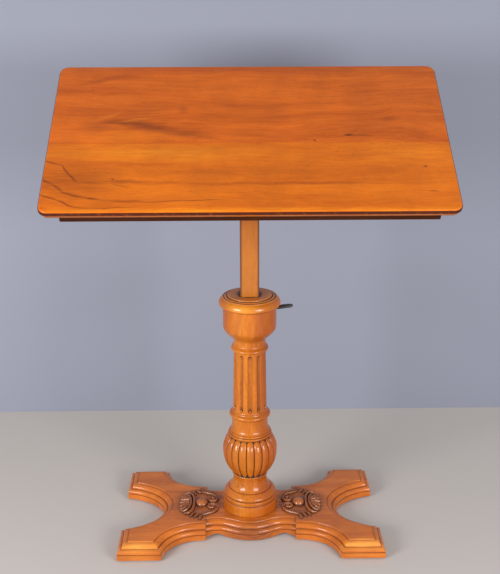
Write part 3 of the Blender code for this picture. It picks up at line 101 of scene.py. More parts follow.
# Carved relief beside the column, in millimetres; runs of (x, y, half width, height)
CARVED_X = (67.2, 154.8)
CARVED_HALF = 66.0
CARVED_STEP = 0.6
FRUIT_X = 105.0
FRUIT_RADIUS = 13.4
FRUIT_HEIGHT = 13.2
CARVED_ROUND = ((2, 0), (-2, 0), (0, 2), (0, -2))
VOLUTE_EYE, VOLUTE_STEPS = (82, 15), 33
STEM = (
    (71.8, 20, 3.9, 9.0), (73.5, 27.5, 4.0, 8.8), (78.5, 34.2, 4.2, 8.6), (85, 38.2, 4.4, 8.6),
    (92.5, 41.3, 4.4, 8.4), (99.5, 44.6, 4.0, 7.4), (105.5, 47.6, 3.2, 5.6), (110, 49.4, 1.6, 3.0))
RIM = (
    (121.0, 0, 3.3, 9.0), (121.4, 10, 3.4, 9.0), (123, 22, 3.5, 8.6), (126.3, 33, 3.6, 8.0),
    (132, 40.4, 3.6, 7.4), (139.5, 40.8, 2.6, 5.0))
INNER_RIM = (
    (128.0, 0, 3.4, 9.8), (128.8, 11, 3.4, 9.8), (131.2, 21, 3.4, 9.4), (136.2, 29.2, 3.4, 8.4),
    (143, 32.6, 3.2, 6.8), (148.5, 30, 2.2, 4.5))
LEAVES = (
    ((134, 0, 4.2, 10), (142, 0, 5.0, 10), (149, 0, 4.2, 8), (152.5, 0, 1.8, 4)),
    ((133, 7, 4.2, 10), (141, 10.4, 5.2, 10), (148, 12.6, 4.4, 8), (151.8, 13.6, 2.0, 4)),
    ((134, 14, 4.0, 9.6), (141, 19.5, 4.8, 9.2), (147, 23.6, 4.0, 7.2), (150.2, 25.6, 1.8, 4)),
    ((103.5, 47, 3.0, 5), (105.8, 54, 4.0, 6.4), (107.6, 60, 3.4, 5.2), (108.6, 64.2, 1.4, 2.6)),
    ((109, 44, 2.8, 4.6), (114, 48.6, 3.8, 5.8), (118, 54, 3.0, 4.6), (119.6, 57.6, 1.3, 2.4)),
    ((120, 38, 3.2, 5), (124.4, 45, 3.8, 6.2), (127, 50.5, 3.0, 4.8), (128.2, 54, 1.3, 2.4)))
BROAD_LEAF = ((126, 0, 12, 5.0), (136, 12, 13, 5.0), (137, 24, 11, 4.4))
# Each run with the depth and the spread of its groove
CARVED_FORMS = (
    (STEM, 0.45, 0.55), (RIM, 0.0, 1.0), (INNER_RIM, 0.0, 1.0), (BROAD_LEAF, 0.0, 1.0),
    *((leaf, 0.42, 0.20) for leaf in LEAVES))

# Gadroon lobes, flutes and beads
LOBE_LOW, LOBE_HIGH = 118.4, 205.6
FLUTE_LOW, FLUTE_HIGH = 265.7, 393.3
BEAD_HEIGHT, BEAD_REACH = 269.2, 32.6

# Release lever: stations of (x, z, half width, half height) in millimetres, then metres
LEVER_STATIONS = (
    (39.0, 487.4, 3.9, 2.1), (44.0, 486.3, 3.9, 2.3), (50.0, 486.0, 3.8, 2.6),
    (57.0, 486.5, 4.0, 3.1), (63.0, 487.8, 4.8, 3.6), (68.5, 489.2, 5.7, 4.0),
    (74.0, 490.3, 6.1, 4.2), (79.5, 490.8, 6.1, 4.1), (84.0, 490.9, 5.4, 3.5),
    (86.6, 490.7, 3.8, 2.3), (87.7, 490.6, 1.4, 0.9))
LEVER_SIDES = 24
LEVER_X, LEVER_Z = BORE_HALF + 0.018, 0.4895
LEVER_WIDTH, HUB_RADIUS = 0.008, 0.0052
NOSE_X, NOSE_HEIGHT, NOSE_RISE = 0.0236, 0.0041, 0.00235

# Cuts in the collar: corners of the rooms for shoe and lever, then radius, length, start and
# sides of the holes for the lever's pin, the stop screw and its head
STOP_Z = 0.4625
SHOE_ROOM = ((0.019, -0.00925, 0.4765), (BORE_HALF + 0.0270, 0.00925, 0.512))
LEVER_ROOM = ((LEVER_X, -0.0065, LEVER_Z - 0.0122), (0.065, 0.0065, LEVER_Z + 0.0003))
PIN_HOLE = (0.0023, 0.0311, (LEVER_X, -0.01555, LEVER_Z), 24)
SCREW_HOLE = (0.0028, 0.063, (0, 0.019, STOP_Z), 24)
HEAD_HOLE = (0.0048, 0.030, (0, 0.0509, STOP_Z), 32)

# Base plan and section in metres, as in the carried frame
BASE_LENGTH, BASE_DEPTH = 0.545, 0.325
FOOT_WIDTH, FOOT_SIDE = 0.0895, 0.0845
BLOCK_LENGTH = 0.189
BLOCK_JOINT = (BLOCK_LENGTH / 2 + 0.002, 0.081)
BLOCK_SCOOP, BLOCK_BULGE = (0.070, 0.0745), (0.0, 0.094)
ARCH_X, ARCH_WIDTH, ARCH_RISE = 0.070, 0.036, 0.005
NUT_RECESS = (0.0143, 0.0113)
TOE_HANDLES, BAY_HANDLES = ((0.08, 0.62), (0.42, 1.0)), ((0.50, 0.08), (1.0, 0.51))
JOINT_HANDLES, BULGE_HANDLES = ((0.35, 0.75), (0.67, 1.0)), ((0.29, 0.0), (0.50, 1.0))
PAD_HEIGHT, PLINTH_HEIGHT, BASE_THICKNESS = 0.003, 0.0105, 0.0315
MOULDING_INSET = 0.0225
WING_WAIST, BAY_APEX = 0.184, 0.187
MOULDING = (
    (0.010, 0.012), (0.028, 0.022), (0.055, 0.026), (0.078, 0.030), (0.088, 0.042), (0.082, 0.062),
    (0.062, 0.075), (0.042, 0.11), (0.032, 0.16), (0.032, 0.22), (0.045, 0.29), (0.078, 0.355),
    (0.130, 0.410), (0.200, 0.450), (0.270, 0.472), (0.325, 0.474), (0.350, 0.455), (0.368, 0.438),
    (0.385, 0.442), (0.392, 0.475), (0.398, 0.53), (0.408, 0.60), (0.435, 0.675), (0.485, 0.745),
    (0.555, 0.805), (0.640, 0.850), (0.730, 0.880), (0.815, 0.892), (0.865, 0.888), (0.885, 0.872),
    (0.902, 0.868), (0.915, 0.885), (0.920, 0.930), (0.930, 0.975), (0.950, 0.995), (0.975, 1.0),
    (1.0, 1.0))

# Boards, in the plane of the top
TOP_LENGTH, TOP_DEPTH, TOP_THICKNESS = 0.760, 0.4106, 0.019
TOP_RADIUS, BOARD_UNDER = 0.018, 0.040
TOP_MIDDLE = (BOARD_UNDER + TOP_THICKNESS / 2) * math.tan(TILT)
TOP_FRONT = TOP_MIDDLE - TOP_DEPTH / 2
BOARD_JOINT = TOP_FRONT + 0.179
EDGE_LOW, EDGE_HIGH = 0.0095, 0.0158
# Painted shade on the boards' edge face, and patina in the quirk at its top, level by level
EDGE_PATINA_AND_SHADE = [0.85, 0.95, 0.95, 0.80, 0.30]
CORNER_STEPS = 16
EDGE_UP = (
    (0.0007, 0.0), (0.0009, 0.0003), (0.0009, 0.0007), (0.0011, 0.0013), (0.0015, 0.0020),
    (0.0021, 0.0026), (0.0028, 0.0030), (0.0036, 0.0032))
EDGE_DOWN = (
    (0.0004, 0.0003), (0.0012, 0.0012), (0.0020, 0.0026), (0.0030, 0.0050), (0.0042, 0.0074),
    (0.0055, 0.0095))

# Stage: half width of the sheets, backdrop, lamps, even light, and a camera in millimetres for
# the lens, metres for its place and radians for its turns
STAGE_HALF, WALL_Y, WALL_LOW, WALL_HIGH = 6, 0.535, -0.01, 1.4
LAMP_SIZE, LAMP_ELEVATION, LAMP_DISTANCE, LAMP_AIM = (0.95, 0.6), 12, 2.3, 0.45
SKY_COLOUR = (0.95, 0.97, 1.0)
CAMERA_PLACE, CAMERA_LENS, CAMERA_SENSOR = (-0.0297, -1.8659, 1.1631), 61.47, 36.0
CAMERA_PAN, CAMERA_PITCH, CAMERA_ROLL = -0.0164, math.pi / 2 - 0.3267, -0.0023


# ------------------------------------------------------------------ settings


class TableShape(bpy.types.PropertyGroup):
    """Sizes of the ornament that a user would change."""

    lobe_count: bpy.props.IntProperty(
        name="Lobes", description="Gadroon lobes round the vase", default=20, min=8, max=40)
    lobe_depth: bpy.props.FloatProperty(
        name="Lobe depth", description="Depth of the cuts between the lobes",
        default=0.0042, unit="LENGTH")
    flute_count: bpy.props.IntProperty(
        name="Flutes", description="Flutes round the shaft", default=11, min=6, max=24)
    flute_radius: bpy.props.FloatProperty(
        name="Flute radius", description="Radius of the gouge that cuts a flute",
        default=0.0056, unit="LENGTH")
    flute_depth: bpy.props.FloatProperty(
        name="Flute depth", description="Depth of a flute", default=0.0040, unit="LENGTH")
    bead_radius: bpy.props.FloatProperty(
        name="Bead radius", description="Radius of the bead at the foot of each flute",
        default=0.0024, unit="LENGTH")
    turning_steps: bpy.props.IntProperty(
        name="Turning steps", description="Steps round a plain turning", default=96, min=32,
        max=256)


class TableFinish(bpy.types.PropertyGroup):
    """Colours of the finishes."""

    front_light: bpy.props.FloatVectorProperty(
        name="Front board, light", description="Lighter wood of the front board",
        subtype="COLOR", default=(0.790, 0.187, 0.005))
    front_dark: bpy.props.FloatVectorProperty(
        name="Front board, dark", description="Darker grain of the front board",
        subtype="COLOR", default=(0.520, 0.097, 0.003))
    rear_light: bpy.props.FloatVectorProperty(
        name="Rear board, light", description="Lighter wood of the rear board",
        subtype="COLOR", default=(0.760, 0.157, 0.008))
    rear_dark: bpy.props.FloatVectorProperty(
        name="Rear board, dark", description="Darker grain of the rear board",
        subtype="COLOR", default=(0.470, 0.078, 0.004))
    column_light: bpy.props.FloatVectorProperty(
        name="Column, light", description="Lighter wood of the column",
        subtype="COLOR", default=(0.730, 0.225, 0.012))
    column_dark: bpy.props.FloatVectorProperty(
        name="Column, dark", description="Darker grain of the column",
        subtype="COLOR", default=(0.400, 0.086, 0.007))
    post_light: bpy.props.FloatVectorProperty(
        name="Post, light grain", description="Lighter colour of the square post",
        subtype="COLOR", default=(0.540, 0.178, 0.026))
    post_dark: bpy.props.FloatVectorProperty(
        name="Post, dark grain", description="Darker colour of the square post",
        subtype="COLOR", default=(0.400, 0.112, 0.014))
    base_light: bpy.props.FloatVectorProperty(
        name="Base, light", description="Lighter wood of the base",
        subtype="COLOR", default=(0.740, 0.200, 0.022))
    base_dark: bpy.props.FloatVectorProperty(
        name="Base, dark", description="Darker grain of the base",
        subtype="COLOR", default=(0.460, 0.102, 0.011))
    cap_light: bpy.props.FloatVectorProperty(
        name="Cap, light", description="Lighter wood of the collar's cap",
        subtype="COLOR", default=(0.80, 0.260, 0.040))
    cap_dark: bpy.props.FloatVectorProperty(
        name="Cap, dark", description="Darker grain of the collar's cap",
        subtype="COLOR", default=(0.46, 0.130, 0.024))
    carved_light: bpy.props.FloatVectorProperty(
        name="Carvings, light", description="Lighter wood of the carvings",
        subtype="COLOR", default=(0.54, 0.160, 0.042))
    carved_dark: bpy.props.FloatVectorProperty(
        name="Carvings, dark", description="Darker grain of the carvings",
        subtype="COLOR", default=(0.30, 0.080, 0.022))
    patina: bpy.props.FloatVectorProperty(
        name="Patina", description="Old polish and dirt gathered in the quirks",
        subtype="COLOR", default=(0.045, 0.016, 0.008))
    # Painted shadow: the under-frame's colour is near black for the shade under the top
    under_frame_shadow: bpy.props.FloatVectorProperty(
        name="Under-frame", description="Plain stained wood under the top",
        subtype="COLOR", default=(0.065, 0.018, 0.007))


class StudioSettings(bpy.types.PropertyGroup):
    """Lamps and backdrop."""

    lamp_power: bpy.props.FloatProperty(
        name="Lamp power", description="Power of each softbox in watts", default=38.5, min=0.0)
    fill: bpy.props.FloatProperty(
        name="Fill", description="Strength of the even light from all sides", default=0.51, min=0.0)
    floor_colour: bpy.props.FloatVectorProperty(
        name="Floor", description="Colour of the floor", subtype="COLOR",
        default=(0.55, 0.503, 0.477))
    wall_colour: bpy.props.FloatVectorProperty(
        name="Backdrop", description="Colour of the backdrop", subtype="COLOR",
        default=(0.288, 0.302, 0.372))


# ------------------------------------------------------------------ mesh tools


def smooth_run(points):
    """A smooth line through the points of one run."""
    if len(points) < 3:
        return [tuple(map(float, point)) for point in points]
    line = []
    for index in range(len(points) - 1):
        p1, p2 = Vector(points[index]), Vector(points[index + 1])
        p0 = Vector(points[index - 1]) if index else p1 * 2 - p2
        p3 = Vector(points[index + 2]) if index + 2 < len(points) else p2 * 2 - p1
        for step in range(RUN_PARTS):
            t = step / RUN_PARTS
            line.append(tuple((
                p1 * 2 + (p2 - p0) * t + (p0 * 2 - p1 * 5 + p2 * 4 - p3) * t * t
                + (p1 * 3 - p0 - p2 * 3 + p3) * t ** 3) / 2))
    line.append(tuple(map(float, points[-1])))
    return line


def direction_at(line, index):
    """The direction of a line at one of its points."""
    before, after = line[max(0, index - 1)], line[min(len(line) - 1, index + 1)]
    return (Vector(after) - Vector(before)).normalized()


def cavity(line, reach=3.0, depth=0.9):
    """How far each point of an outline lies below its neighbours, from 0 to 1; outward is left."""
    values = []
    for index, point in enumerate(line):
        here = Vector(point)
        near = [(Vector(other), reach - (Vector(other) - here).length) for other in line]
        near = [(other, weight) for other, weight in near if weight > 0]
        mean = sum((other * weight for other, weight in near), Vector((0, 0)))
        mean /= sum(weight for _, weight in near)
        along = direction_at(line, index)
        outward = Vector((-along.y, along.x))
        values.append(min(1.0, max(0.0, (mean - here).dot(outward) / depth)))
    return values


def turned_points(runs):
    """Radius, height and patina of a turned profile, in metres."""
    line = []
    for run in runs:
        for point in smooth_run(run):
            if not line or (Vector(line[-1]) - Vector(point)).length > LEAST_STEP:
                line.append(point)
    darks = cavity([(radius, height) for height, radius in line])
    return [(radius * MM, height * MM, dark) for (height, radius), dark in zip(line, darks)]


def bore_wall(low, high, dark=0.0):
    """The bore's side of a profile between two heights in millimetres."""
    return [(BORE_HALF, low * MM, 0.0), (BORE_HALF, high * MM, dark)]


def spin_profile(points, steps, closed=True):
    """A bmesh turned from (radius, height, patina) points in metres, with its bore made square."""
    work = bmesh.new()
    layer = work.verts.layers.float.new("patina")
    chain = []
    for radius, height, dark in points:
        vertex = work.verts.new((radius, 0.0, height))
        vertex[layer] = dark
        chain.append(vertex)
    edges = [work.edges.new(pair) for pair in zip(chain, chain[1:])]
    if closed:
        edges.append(work.edges.new((chain[-1], chain[0])))
    bmesh.ops.spin(
        work, geom=chain + edges, cent=(0, 0, 0), axis=(0, 0, 1), angle=2 * math.pi,
        steps=steps, use_merge=True)
    bmesh.ops.remove_doubles(work, verts=work.verts, dist=1e-6)
    bmesh.ops.recalc_face_normals(work, faces=work.faces)
    for vertex in work.verts:
        if abs(vertex.co.xy.length - BORE_HALF) < 1e-5:
            angle = math.atan2(vertex.co.y, vertex.co.x)
            reach = BORE_HALF / max(abs(math.cos(angle)), abs(math.sin(angle)))
            vertex.co.xy = (reach * math.cos(angle), reach * math.sin(angle))
    return work


def linked(name, work):
    """An object of a bmesh, linked to the scene."""
    mesh = bpy.data.meshes.new(name)
    work.to_mesh(mesh)
    work.free()
    item = bpy.data.objects.new(name, mesh)
    bpy.context.scene.collection.objects.link(item)
    return item


def as_piece(name, work, body, finish, replaced, sharp=38):
    """Turn a bmesh into a finished piece that rides on a body in place of a CAD node."""
    piece = linked(name, work)
    piece.data.shade_smooth()
    piece.data.set_sharp_from_angle(angle=math.radians(sharp))
    piece.data.materials.append(finish_named(finish))
    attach(piece, body)
    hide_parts(replaced)


def carve(work, cutters):
    """Cut closed bmesh shapes out of a bmesh."""
    item = linked("carve", work)
    tools = [linked(f"tool_{index}", cutter) for index, cutter in enumerate(cutters)]
    for tool in tools:
        change = item.modifiers.new(tool.name, "BOOLEAN")
        change.operation = "DIFFERENCE"
        change.solver = "EXACT"
        change.object = tool
    bpy.context.view_layer.update()
    graph = bpy.context.evaluated_depsgraph_get()
    result = bmesh.new()
    result.from_mesh(item.evaluated_get(graph).to_mesh())
    for spare in tools + [item]:
        data = spare.data
        bpy.data.objects.remove(spare)
        bpy.data.meshes.remove(data)
    return result


def block_shape(low, high):
    """A box between two corners."""
    work = bmesh.new()
    bmesh.ops.create_cube(work, size=1.0)
    bmesh.ops.scale(work, vec=Vector(high) - Vector(low), verts=work.verts)
    bmesh.ops.translate(work, vec=(Vector(high) + Vector(low)) / 2, verts=work.verts)
    return work


def rod_shape(radius, length, start, sides, lying=True):
    """A cylinder from its starting point up, or backwards where it lies."""
    work = bmesh.new()
    bmesh.ops.create_cone(
        work, cap_ends=True, segments=sides, radius1=radius, radius2=radius, depth=length)
    bmesh.ops.translate(work, vec=(0, 0, length / 2), verts=work.verts)
    place = Matrix.Translation(start) @ (LYING if lying else Matrix.Identity(4))
    bmesh.ops.transform(work, matrix=place, verts=work.verts)
    return work


def moulded(ring, levels, darks):
    """A slab raised level by level; ring gives the outline at an inset, darks its patina, which on
    the boards is also painted shade.
    """
    work = bmesh.new()
    patina = work.verts.layers.float.new("patina")
    order = work.verts.layers.int.new("order")
    inset, height = levels[0]
    start = [work.verts.new((x, y, height)) for x, y in ring(inset)]
    for index, vertex in enumerate(start):
        vertex[order] = index
        vertex[patina] = darks[0]
    face = work.faces.new(start)
    for number, (inset, height) in enumerate(levels[1:]):
        grown = bmesh.ops.extrude_face_region(work, geom=[face], use_keep_orig=True)
        if number:
            bmesh.ops.delete(work, geom=[face], context="FACES_ONLY")
        face = next(part for part in grown["geom"] if isinstance(part, bmesh.types.BMFace))
        outline = ring(inset)
        for vertex in face.verts:
            vertex.co = (*outline[vertex[order]], height)
            vertex[patina] = darks[number + 1]
    bmesh.ops.recalc_face_normals(work, faces=work.faces)
    return work


def shifted(line, inset):
    """A smooth line moved to its right by the inset."""
    moved = []
    for index, point in enumerate(line):
        along = direction_at(line, index)
        moved.append((point[0] + along.y * inset, point[1] - along.x * inset))
    return moved


def between(first, last, share):
    """The point at a share of the way between two points."""
    return tuple(a + share * (b - a) for a, b in zip(first, last))


def trimmed(line, axis, limit):
    """The part of a line below a limit, with a new end exactly on it."""
    kept = []
    for first, last in zip(line, line[1:]):
        if first[axis] <= limit:
            kept.append(first)
        if (first[axis] <= limit) != (last[axis] <= limit):
            kept.append(between(first, last, (limit - first[axis]) / (last[axis] - first[axis])))
    if line[-1][axis] <= limit:
        kept.append(line[-1])
    return kept


def evened(line, count):
    """A line divided into equal steps."""
    lengths = [0.0]
    for first, last in zip(line, line[1:]):
        lengths.append(lengths[-1] + (Vector(last) - Vector(first)).length)
    points, place = [], 0
    for step in range(count + 1):
        goal = lengths[-1] * step / count
        while place < len(lengths) - 2 and lengths[place + 1] < goal:
            place += 1
        span = lengths[place + 1] - lengths[place]
        share = (goal - lengths[place]) / span if span else 0.0
        points.append(between(line[place], line[place + 1], share))
    return points


def bezier(first, last, shares, steps):
    """Points on a cubic whose handles are shares of its span; the last point is left out."""
    start, end = Vector(first), Vector(last)
    handle_a, handle_b = (start + (end - start) * Vector(share) for share in shares)
    points = []
    for step in range(steps):
        t = step / steps
        u = 1 - t
        points.append(tuple(
            start * u ** 3 + handle_a * 3 * u * u * t + handle_b * 3 * u * t * t + end * t ** 3))
    return points


def wing_ring(side, inset):
    """Outline of one wing at an inset from its edge."""
    inner = BLOCK_LENGTH / 2 - 2 * MOULDING_INSET
    front, end = BASE_DEPTH / 2, BASE_LENGTH / 2
    toe, waist = (end - FOOT_WIDTH, front), (BLOCK_LENGTH / 2, WING_WAIST / 2)
    mouth, apex = (end, front - FOOT_SIDE), (BAY_APEX, 0.0)
    arc = [(inner, waist[1]), waist] + bezier(toe, waist, TOE_HANDLES, 60)[:0:-1] + [toe]
    bay = bezier(mouth, apex, BAY_HANDLES, 60)
    bay += [apex] + [(x, -y) for x, y in bay[::-1]]
    arc = evened(trimmed(shifted(evened(arc, 120), inset), 1, front - inset), 40)
    bay = evened(trimmed(shifted(evened(bay, 160), inset), 0, end - inset), 64)
    half = arc + [(end - inset, front - inset)]
    outline = [(x, -y) for x, y in half] + bay[::-1] + half[::-1]
    return [(side * x, y) for x, y in outline]


def block_ring(inset):
    """Outline of the block at an inset from its front and back edges."""
    reach = BLOCK_LENGTH / 2 + 2 * MOULDING_INSET
    quarter = [(reach, BLOCK_JOINT[1])] + bezier(BLOCK_JOINT, BLOCK_SCOOP, JOINT_HANDLES, 40)
    quarter += bezier(BLOCK_SCOOP, BLOCK_BULGE, BULGE_HANDLES, 40)
    back = quarter + [BLOCK_BULGE] + [(-x, y) for x, y in quarter[::-1]]
    back = evened(shifted(evened(back, 240), -inset), 120)
    return back + [(-x, -y) for x, y in back]


def board_ring(inset):
    """Outline of the top at an inset from its edge, with its rounded corners."""
    radius, half = TOP_RADIUS - inset, TOP_LENGTH / 2 - TOP_RADIUS
    rear, front = TOP_FRONT + TOP_DEPTH - TOP_RADIUS, TOP_FRONT + TOP_RADIUS
    outline = []
    for index, (x, y) in enumerate(((half, front), (half, rear), (-half, rear), (-half, front))):
        for step in range(CORNER_STEPS + 1):
            angle = math.radians(90) * (index - 1 + step / CORNER_STEPS)
            outline.append((x + radius * math.cos(angle), y + radius * math.sin(angle)))
    return outline


def saw(work, point, normal):
    """Saw through a plane and keep the part that the normal points away from."""
    result = bmesh.ops.bisect_plane(
        work, geom=work.verts[:] + work.edges[:] + work.faces[:], plane_co=point, plane_no=normal,
        clear_outer=True)
    edges = [part for part in result["geom_cut"] if isinstance(part, bmesh.types.BMEdge)]
    bmesh.ops.holes_fill(work, edges=edges, sides=0)
    bmesh.ops.recalc_face_normals(work, faces=work.faces)


# ------------------------------------------------------------------ finishes


NODES_IN_ROW, NODE_STEP_X, NODE_STEP_Y = 10, 190, 320
SOLID_MARK = 0.003
PORE_COLOUR = (0.10, 0.026, 0.008)
LINE_COLOUR = (0.15, 0.027, 0.003)
# Painted highlight on the collar's torus, and painted shade on both sides of the turned wood
TORUS_HIGHLIGHT_COLOUR = (0.96, 0.385, 0.040)
SIDE_SHADE_COLOUR = (0.40, 0.064, 0.004)
# Painted shadow of the top on the post's upper part, and painted shade at the post's arrises
POST_SHADOW_COLOUR = (0.31, 0.074, 0.009)
ARRIS_SHADE_COLOUR = (0.11, 0.028, 0.009)
# Colour of the boards' patina, which also paints shade on their edges
BOARD_DIRT_AND_SHADE = (0.075, 0.011, 0.003)

# Where the grain of the boards, of upright pieces and of pieces across the top starts and runs
BOARD_PLACE = {"location": (0, 0, HINGE_Z), "rotation": (TILT, 0, 0)}
UPRIGHT_GRAIN = {"rotation": (0, math.radians(-90), 0)}
DEPTH_GRAIN = {"location": (0, 0, HINGE_Z), "rotation": (TILT, 0, math.radians(90))}

# Bright colour, tarnish and roughness
METALS = {
    "steel": ((0.42, 0.40, 0.38), (0.16, 0.13, 0.11), 0.36),
    "dark_steel": ((0.34, 0.30, 0.265), (0.07, 0.054, 0.044), 0.38),
    "brass": ((0.78, 0.54, 0.20), (0.36, 0.22, 0.08), 0.26)}
# Both colours, scale of the nap and roughness
SOFT = {
    "leather": ((0.13, 0.060, 0.028), (0.07, 0.032, 0.016), 900.0, 0.72),
    "felt": ((0.035, 0.085, 0.040), (0.055, 0.115, 0.055), 2600.0, 0.95)}


class NodeNet:
    """A node tree with short ways to add and join its nodes."""

    def __init__(self, tree):
        self.tree = tree

    def feed(self, socket, value):
        """Link an input to a socket, or set it to a value."""
        if isinstance(value, bpy.types.NodeSocket):
            self.tree.links.new(value, socket)
        else:
            socket.default_value = value

    def node(self, kind, inputs=None, **settings):
        """A node with its settings and inputs, set out in rows."""
        row, column = divmod(len(self.tree.nodes), NODES_IN_ROW)
        node = self.tree.nodes.new(kind)
        node.location = (NODE_STEP_X * column, -NODE_STEP_Y * row)
        for name, value in settings.items():
            setattr(node, name, value)
        for label, value in (inputs or {}).items():
            self.feed(node.inputs[label], value)
        return node

    def math(self, operation, a, b=0.0):
        """The result of a Math node."""
        return self.node("ShaderNodeMath", {0: a, 1: b}, operation=operation).outputs[0]

    def vector(self, operation, *values, output=0):
        """The result of a Vector Math node."""
        inputs = dict(enumerate(values))
        return self.node("ShaderNodeVectorMath", inputs, operation=operation).outputs[output]

    def mix(self, factor, a, b):
        """Two colours mixed."""
        return self.node("ShaderNodeMix", {0: factor, 6: a, 7: b}, data_type="RGBA").outputs[2]

    def noise(self, vector, scale, detail=2.0, rough=0.5, stretch=None, distortion=0.0,
              output="Fac"):
        """Noise; a stretch draws it out along the first axis."""
        if stretch:
            vector = self.vector("MULTIPLY", vector, stretch)
        return self.node("ShaderNodeTexNoise", {
            "Vector": vector, "Scale": scale, "Detail": detail, "Roughness": rough,
            "Distortion": distortion}).outputs[output]

    def remap(self, value, low, high, to_low=0.0, to_high=1.0):
        """A number brought from one range to another, clamped."""
        return self.node("ShaderNodeMapRange", {
            "Value": value, "From Min": low, "From Max": high, "To Min": to_low,
            "To Max": to_high}).outputs["Result"]


def new_group(name, inputs, outputs):
    """An empty node group as a net, with its inputs to read and its outputs to feed."""
    tree = bpy.data.node_groups.new(name, "ShaderNodeTree")
    for sockets, in_out in ((inputs, "INPUT"), (outputs, "OUTPUT")):
        for label, kind in sockets.items():
            tree.interface.new_socket(name=label, in_out=in_out, socket_type=f"NodeSocket{kind}")
    net = NodeNet(tree)
    return net, net.node("NodeGroupInput").outputs, net.node("NodeGroupOutput").inputs


def grain_group(name):
    """Polished wood: broad figure, fine streaks, flecks and pores along the first axis."""
    net, source, sink = new_group(
        name,
        {"Vector": "Vector", "Light": "Color", "Dark": "Color", "Figure": "Float",
         "Streaks": "Float", "Pores": "Float"},
        {"Color": "Color", "Roughness": "Float", "Height": "Float"})
    bend = net.noise(source["Vector"], 1.5, 2.0, 0.55, (1.6, 4.0, 4.0))
    push = net.node("ShaderNodeVectorMath", {
        0: (0.0, 1.0, 0.6), "Scale": net.math("MULTIPLY", bend, 0.10)}, operation="SCALE")
    vector = net.vector("ADD", source["Vector"], push.outputs[0])
    figure = net.noise(vector, 3.0, 3.0, 0.5, (1.3, 12.0, 12.0), 0.4)
    figure = net.remap(figure, 0.34, 0.66)
    streaks = net.remap(net.noise(vector, 4.5, 8.0, 0.72, (2.4, 44.0, 44.0)), 0.38, 0.64)
    fleck = net.remap(net.noise(vector, 3.0, 2.0, 0.5, (30.0, 240.0, 240.0)), 0.57, 0.70)
    pore = net.remap(net.noise(vector, 2.4, 2.0, 0.5, (60.0, 900.0, 900.0)), 0.64, 0.74)
    dark = net.math("ADD", net.math("MULTIPLY", figure, source["Figure"]),
                    net.math("MULTIPLY", streaks, source["Streaks"]))
    dark = net.remap(net.math("ADD", dark, net.math("MULTIPLY", fleck, 0.40)), 0.0, 1.0)
    pit = net.math("MULTIPLY", pore, source["Pores"])
    colour = net.mix(dark, source["Light"], source["Dark"])
    net.feed(sink["Color"], net.mix(pit, colour, rgba(PORE_COLOUR)))
    rough = net.math("ADD", net.math("MULTIPLY", streaks, 0.07), 0.20)
    net.feed(sink["Roughness"], net.math("ADD", rough, net.math("MULTIPLY", pit, 0.25)))
    net.feed(sink["Height"], net.math("SUBTRACT", net.math("MULTIPLY", streaks, 0.25), pit))
    return net.tree


def patina_group(name):
    """Old polish that darkens the quirks, broken up by noise; on the boards it also paints shade on
    their edges.
    """
    net, source, sink = new_group(
        name,
        {"Vector": "Vector", "Color": "Color", "DirtAndShade": "Color", "Roughness": "Float",
         "Mask": "Float", "Amount": "Float"},
        {"Color": "Color", "Roughness": "Float"})
    broken = net.remap(net.noise(source["Vector"], 120.0, 3.0), 0.30, 0.70, 0.80, 1.10)
    mask = net.math("MULTIPLY", net.math("MULTIPLY", source["Mask"], broken), source["Amount"])
    mask = net.remap(mask, 0.04, 0.72)
    aged = net.remap(net.noise(source["Vector"], 16.0, 4.0), 0.35, 0.75, 0.0, 0.22)
    whole = net.math("MAXIMUM", mask, net.math("MULTIPLY", aged, source["Amount"]))
    net.feed(sink["Color"], net.mix(whole, source["Color"], source["DirtAndShade"]))
    net.feed(sink["Roughness"],
             net.math("ADD", source["Roughness"], net.math("MULTIPLY", mask, 0.35)))
    return net.tree


def metal_group(name):
    """Handled metal: clouded tarnish and fine scratches."""
    net, source, sink = new_group(
        name,
        {"Vector": "Vector", "Bright": "Color", "Tarnish": "Color", "Roughness": "Float"},
        {"Color": "Color", "Roughness": "Float", "Height": "Float"})
    stain = net.remap(net.noise(source["Vector"], 90.0, 5.0), 0.40, 0.70)
    net.feed(sink["Color"], net.mix(stain, source["Bright"], source["Tarnish"]))
    net.feed(sink["Roughness"],
             net.math("ADD", source["Roughness"], net.math("MULTIPLY", stain, 0.18)))
    net.feed(sink["Height"], net.noise(source["Vector"], 2.0, 3.0, 0.55, (40.0, 600.0, 600.0)))
    return net.tree


def nap_group(name):
    """Leather or felt: mottled colour with a fine pebble or nap."""
    net, source, sink = new_group(
        name, {"Vector": "Vector", "First": "Color", "Second": "Color", "Scale": "Float"},
        {"Color": "Color", "Height": "Float"})
    mottle = net.noise(source["Vector"], 160.0)
    net.feed(sink["Color"], net.mix(mottle, source["First"], source["Second"]))
    pebble = net.node("ShaderNodeTexVoronoi", {
        "Vector": source["Vector"], "Scale": source["Scale"]})
    net.feed(sink["Height"], pebble.outputs["Distance"])
    return net.tree


def grouped(net, name, build, inputs):
    """The outputs of a node group, which is built when it is first used."""
    tree = bpy.data.node_groups.get(name) or build(name)
    return net.node("ShaderNodeGroup", inputs, node_tree=tree).outputs


def rgba(colour):
    """A colour with full alpha."""
    return (*colour, 1.0)


def new_finish(name, location=(0, 0, 0), rotation=(0, 0, 0)):
    """A material as a net, with its shader and a vector set along the grain."""
    material = bpy.data.materials.new(name)
    material.use_nodes = True
    net = NodeNet(material.node_tree)
    place = net.node("ShaderNodeTexCoord").outputs["Object"]
    along = net.node("ShaderNodeMapping", {
        "Vector": place, "Location": location, "Rotation": rotation}, vector_type="TEXTURE")
    return material, net, net.tree.nodes["Principled BSDF"], along.outputs["Vector"]


def shade(net, shader, height, strength, distance, **inputs):
    """Feed the shader's inputs, named with underscores, and its relief from a height."""
    relief = net.node("ShaderNodeBump", {
        "Height": height, "Strength": strength, "Distance": distance}).outputs["Normal"]
    for label, value in {"Normal": relief, **inputs}.items():
        net.feed(shader.inputs[label.replace("_", " ")], value)


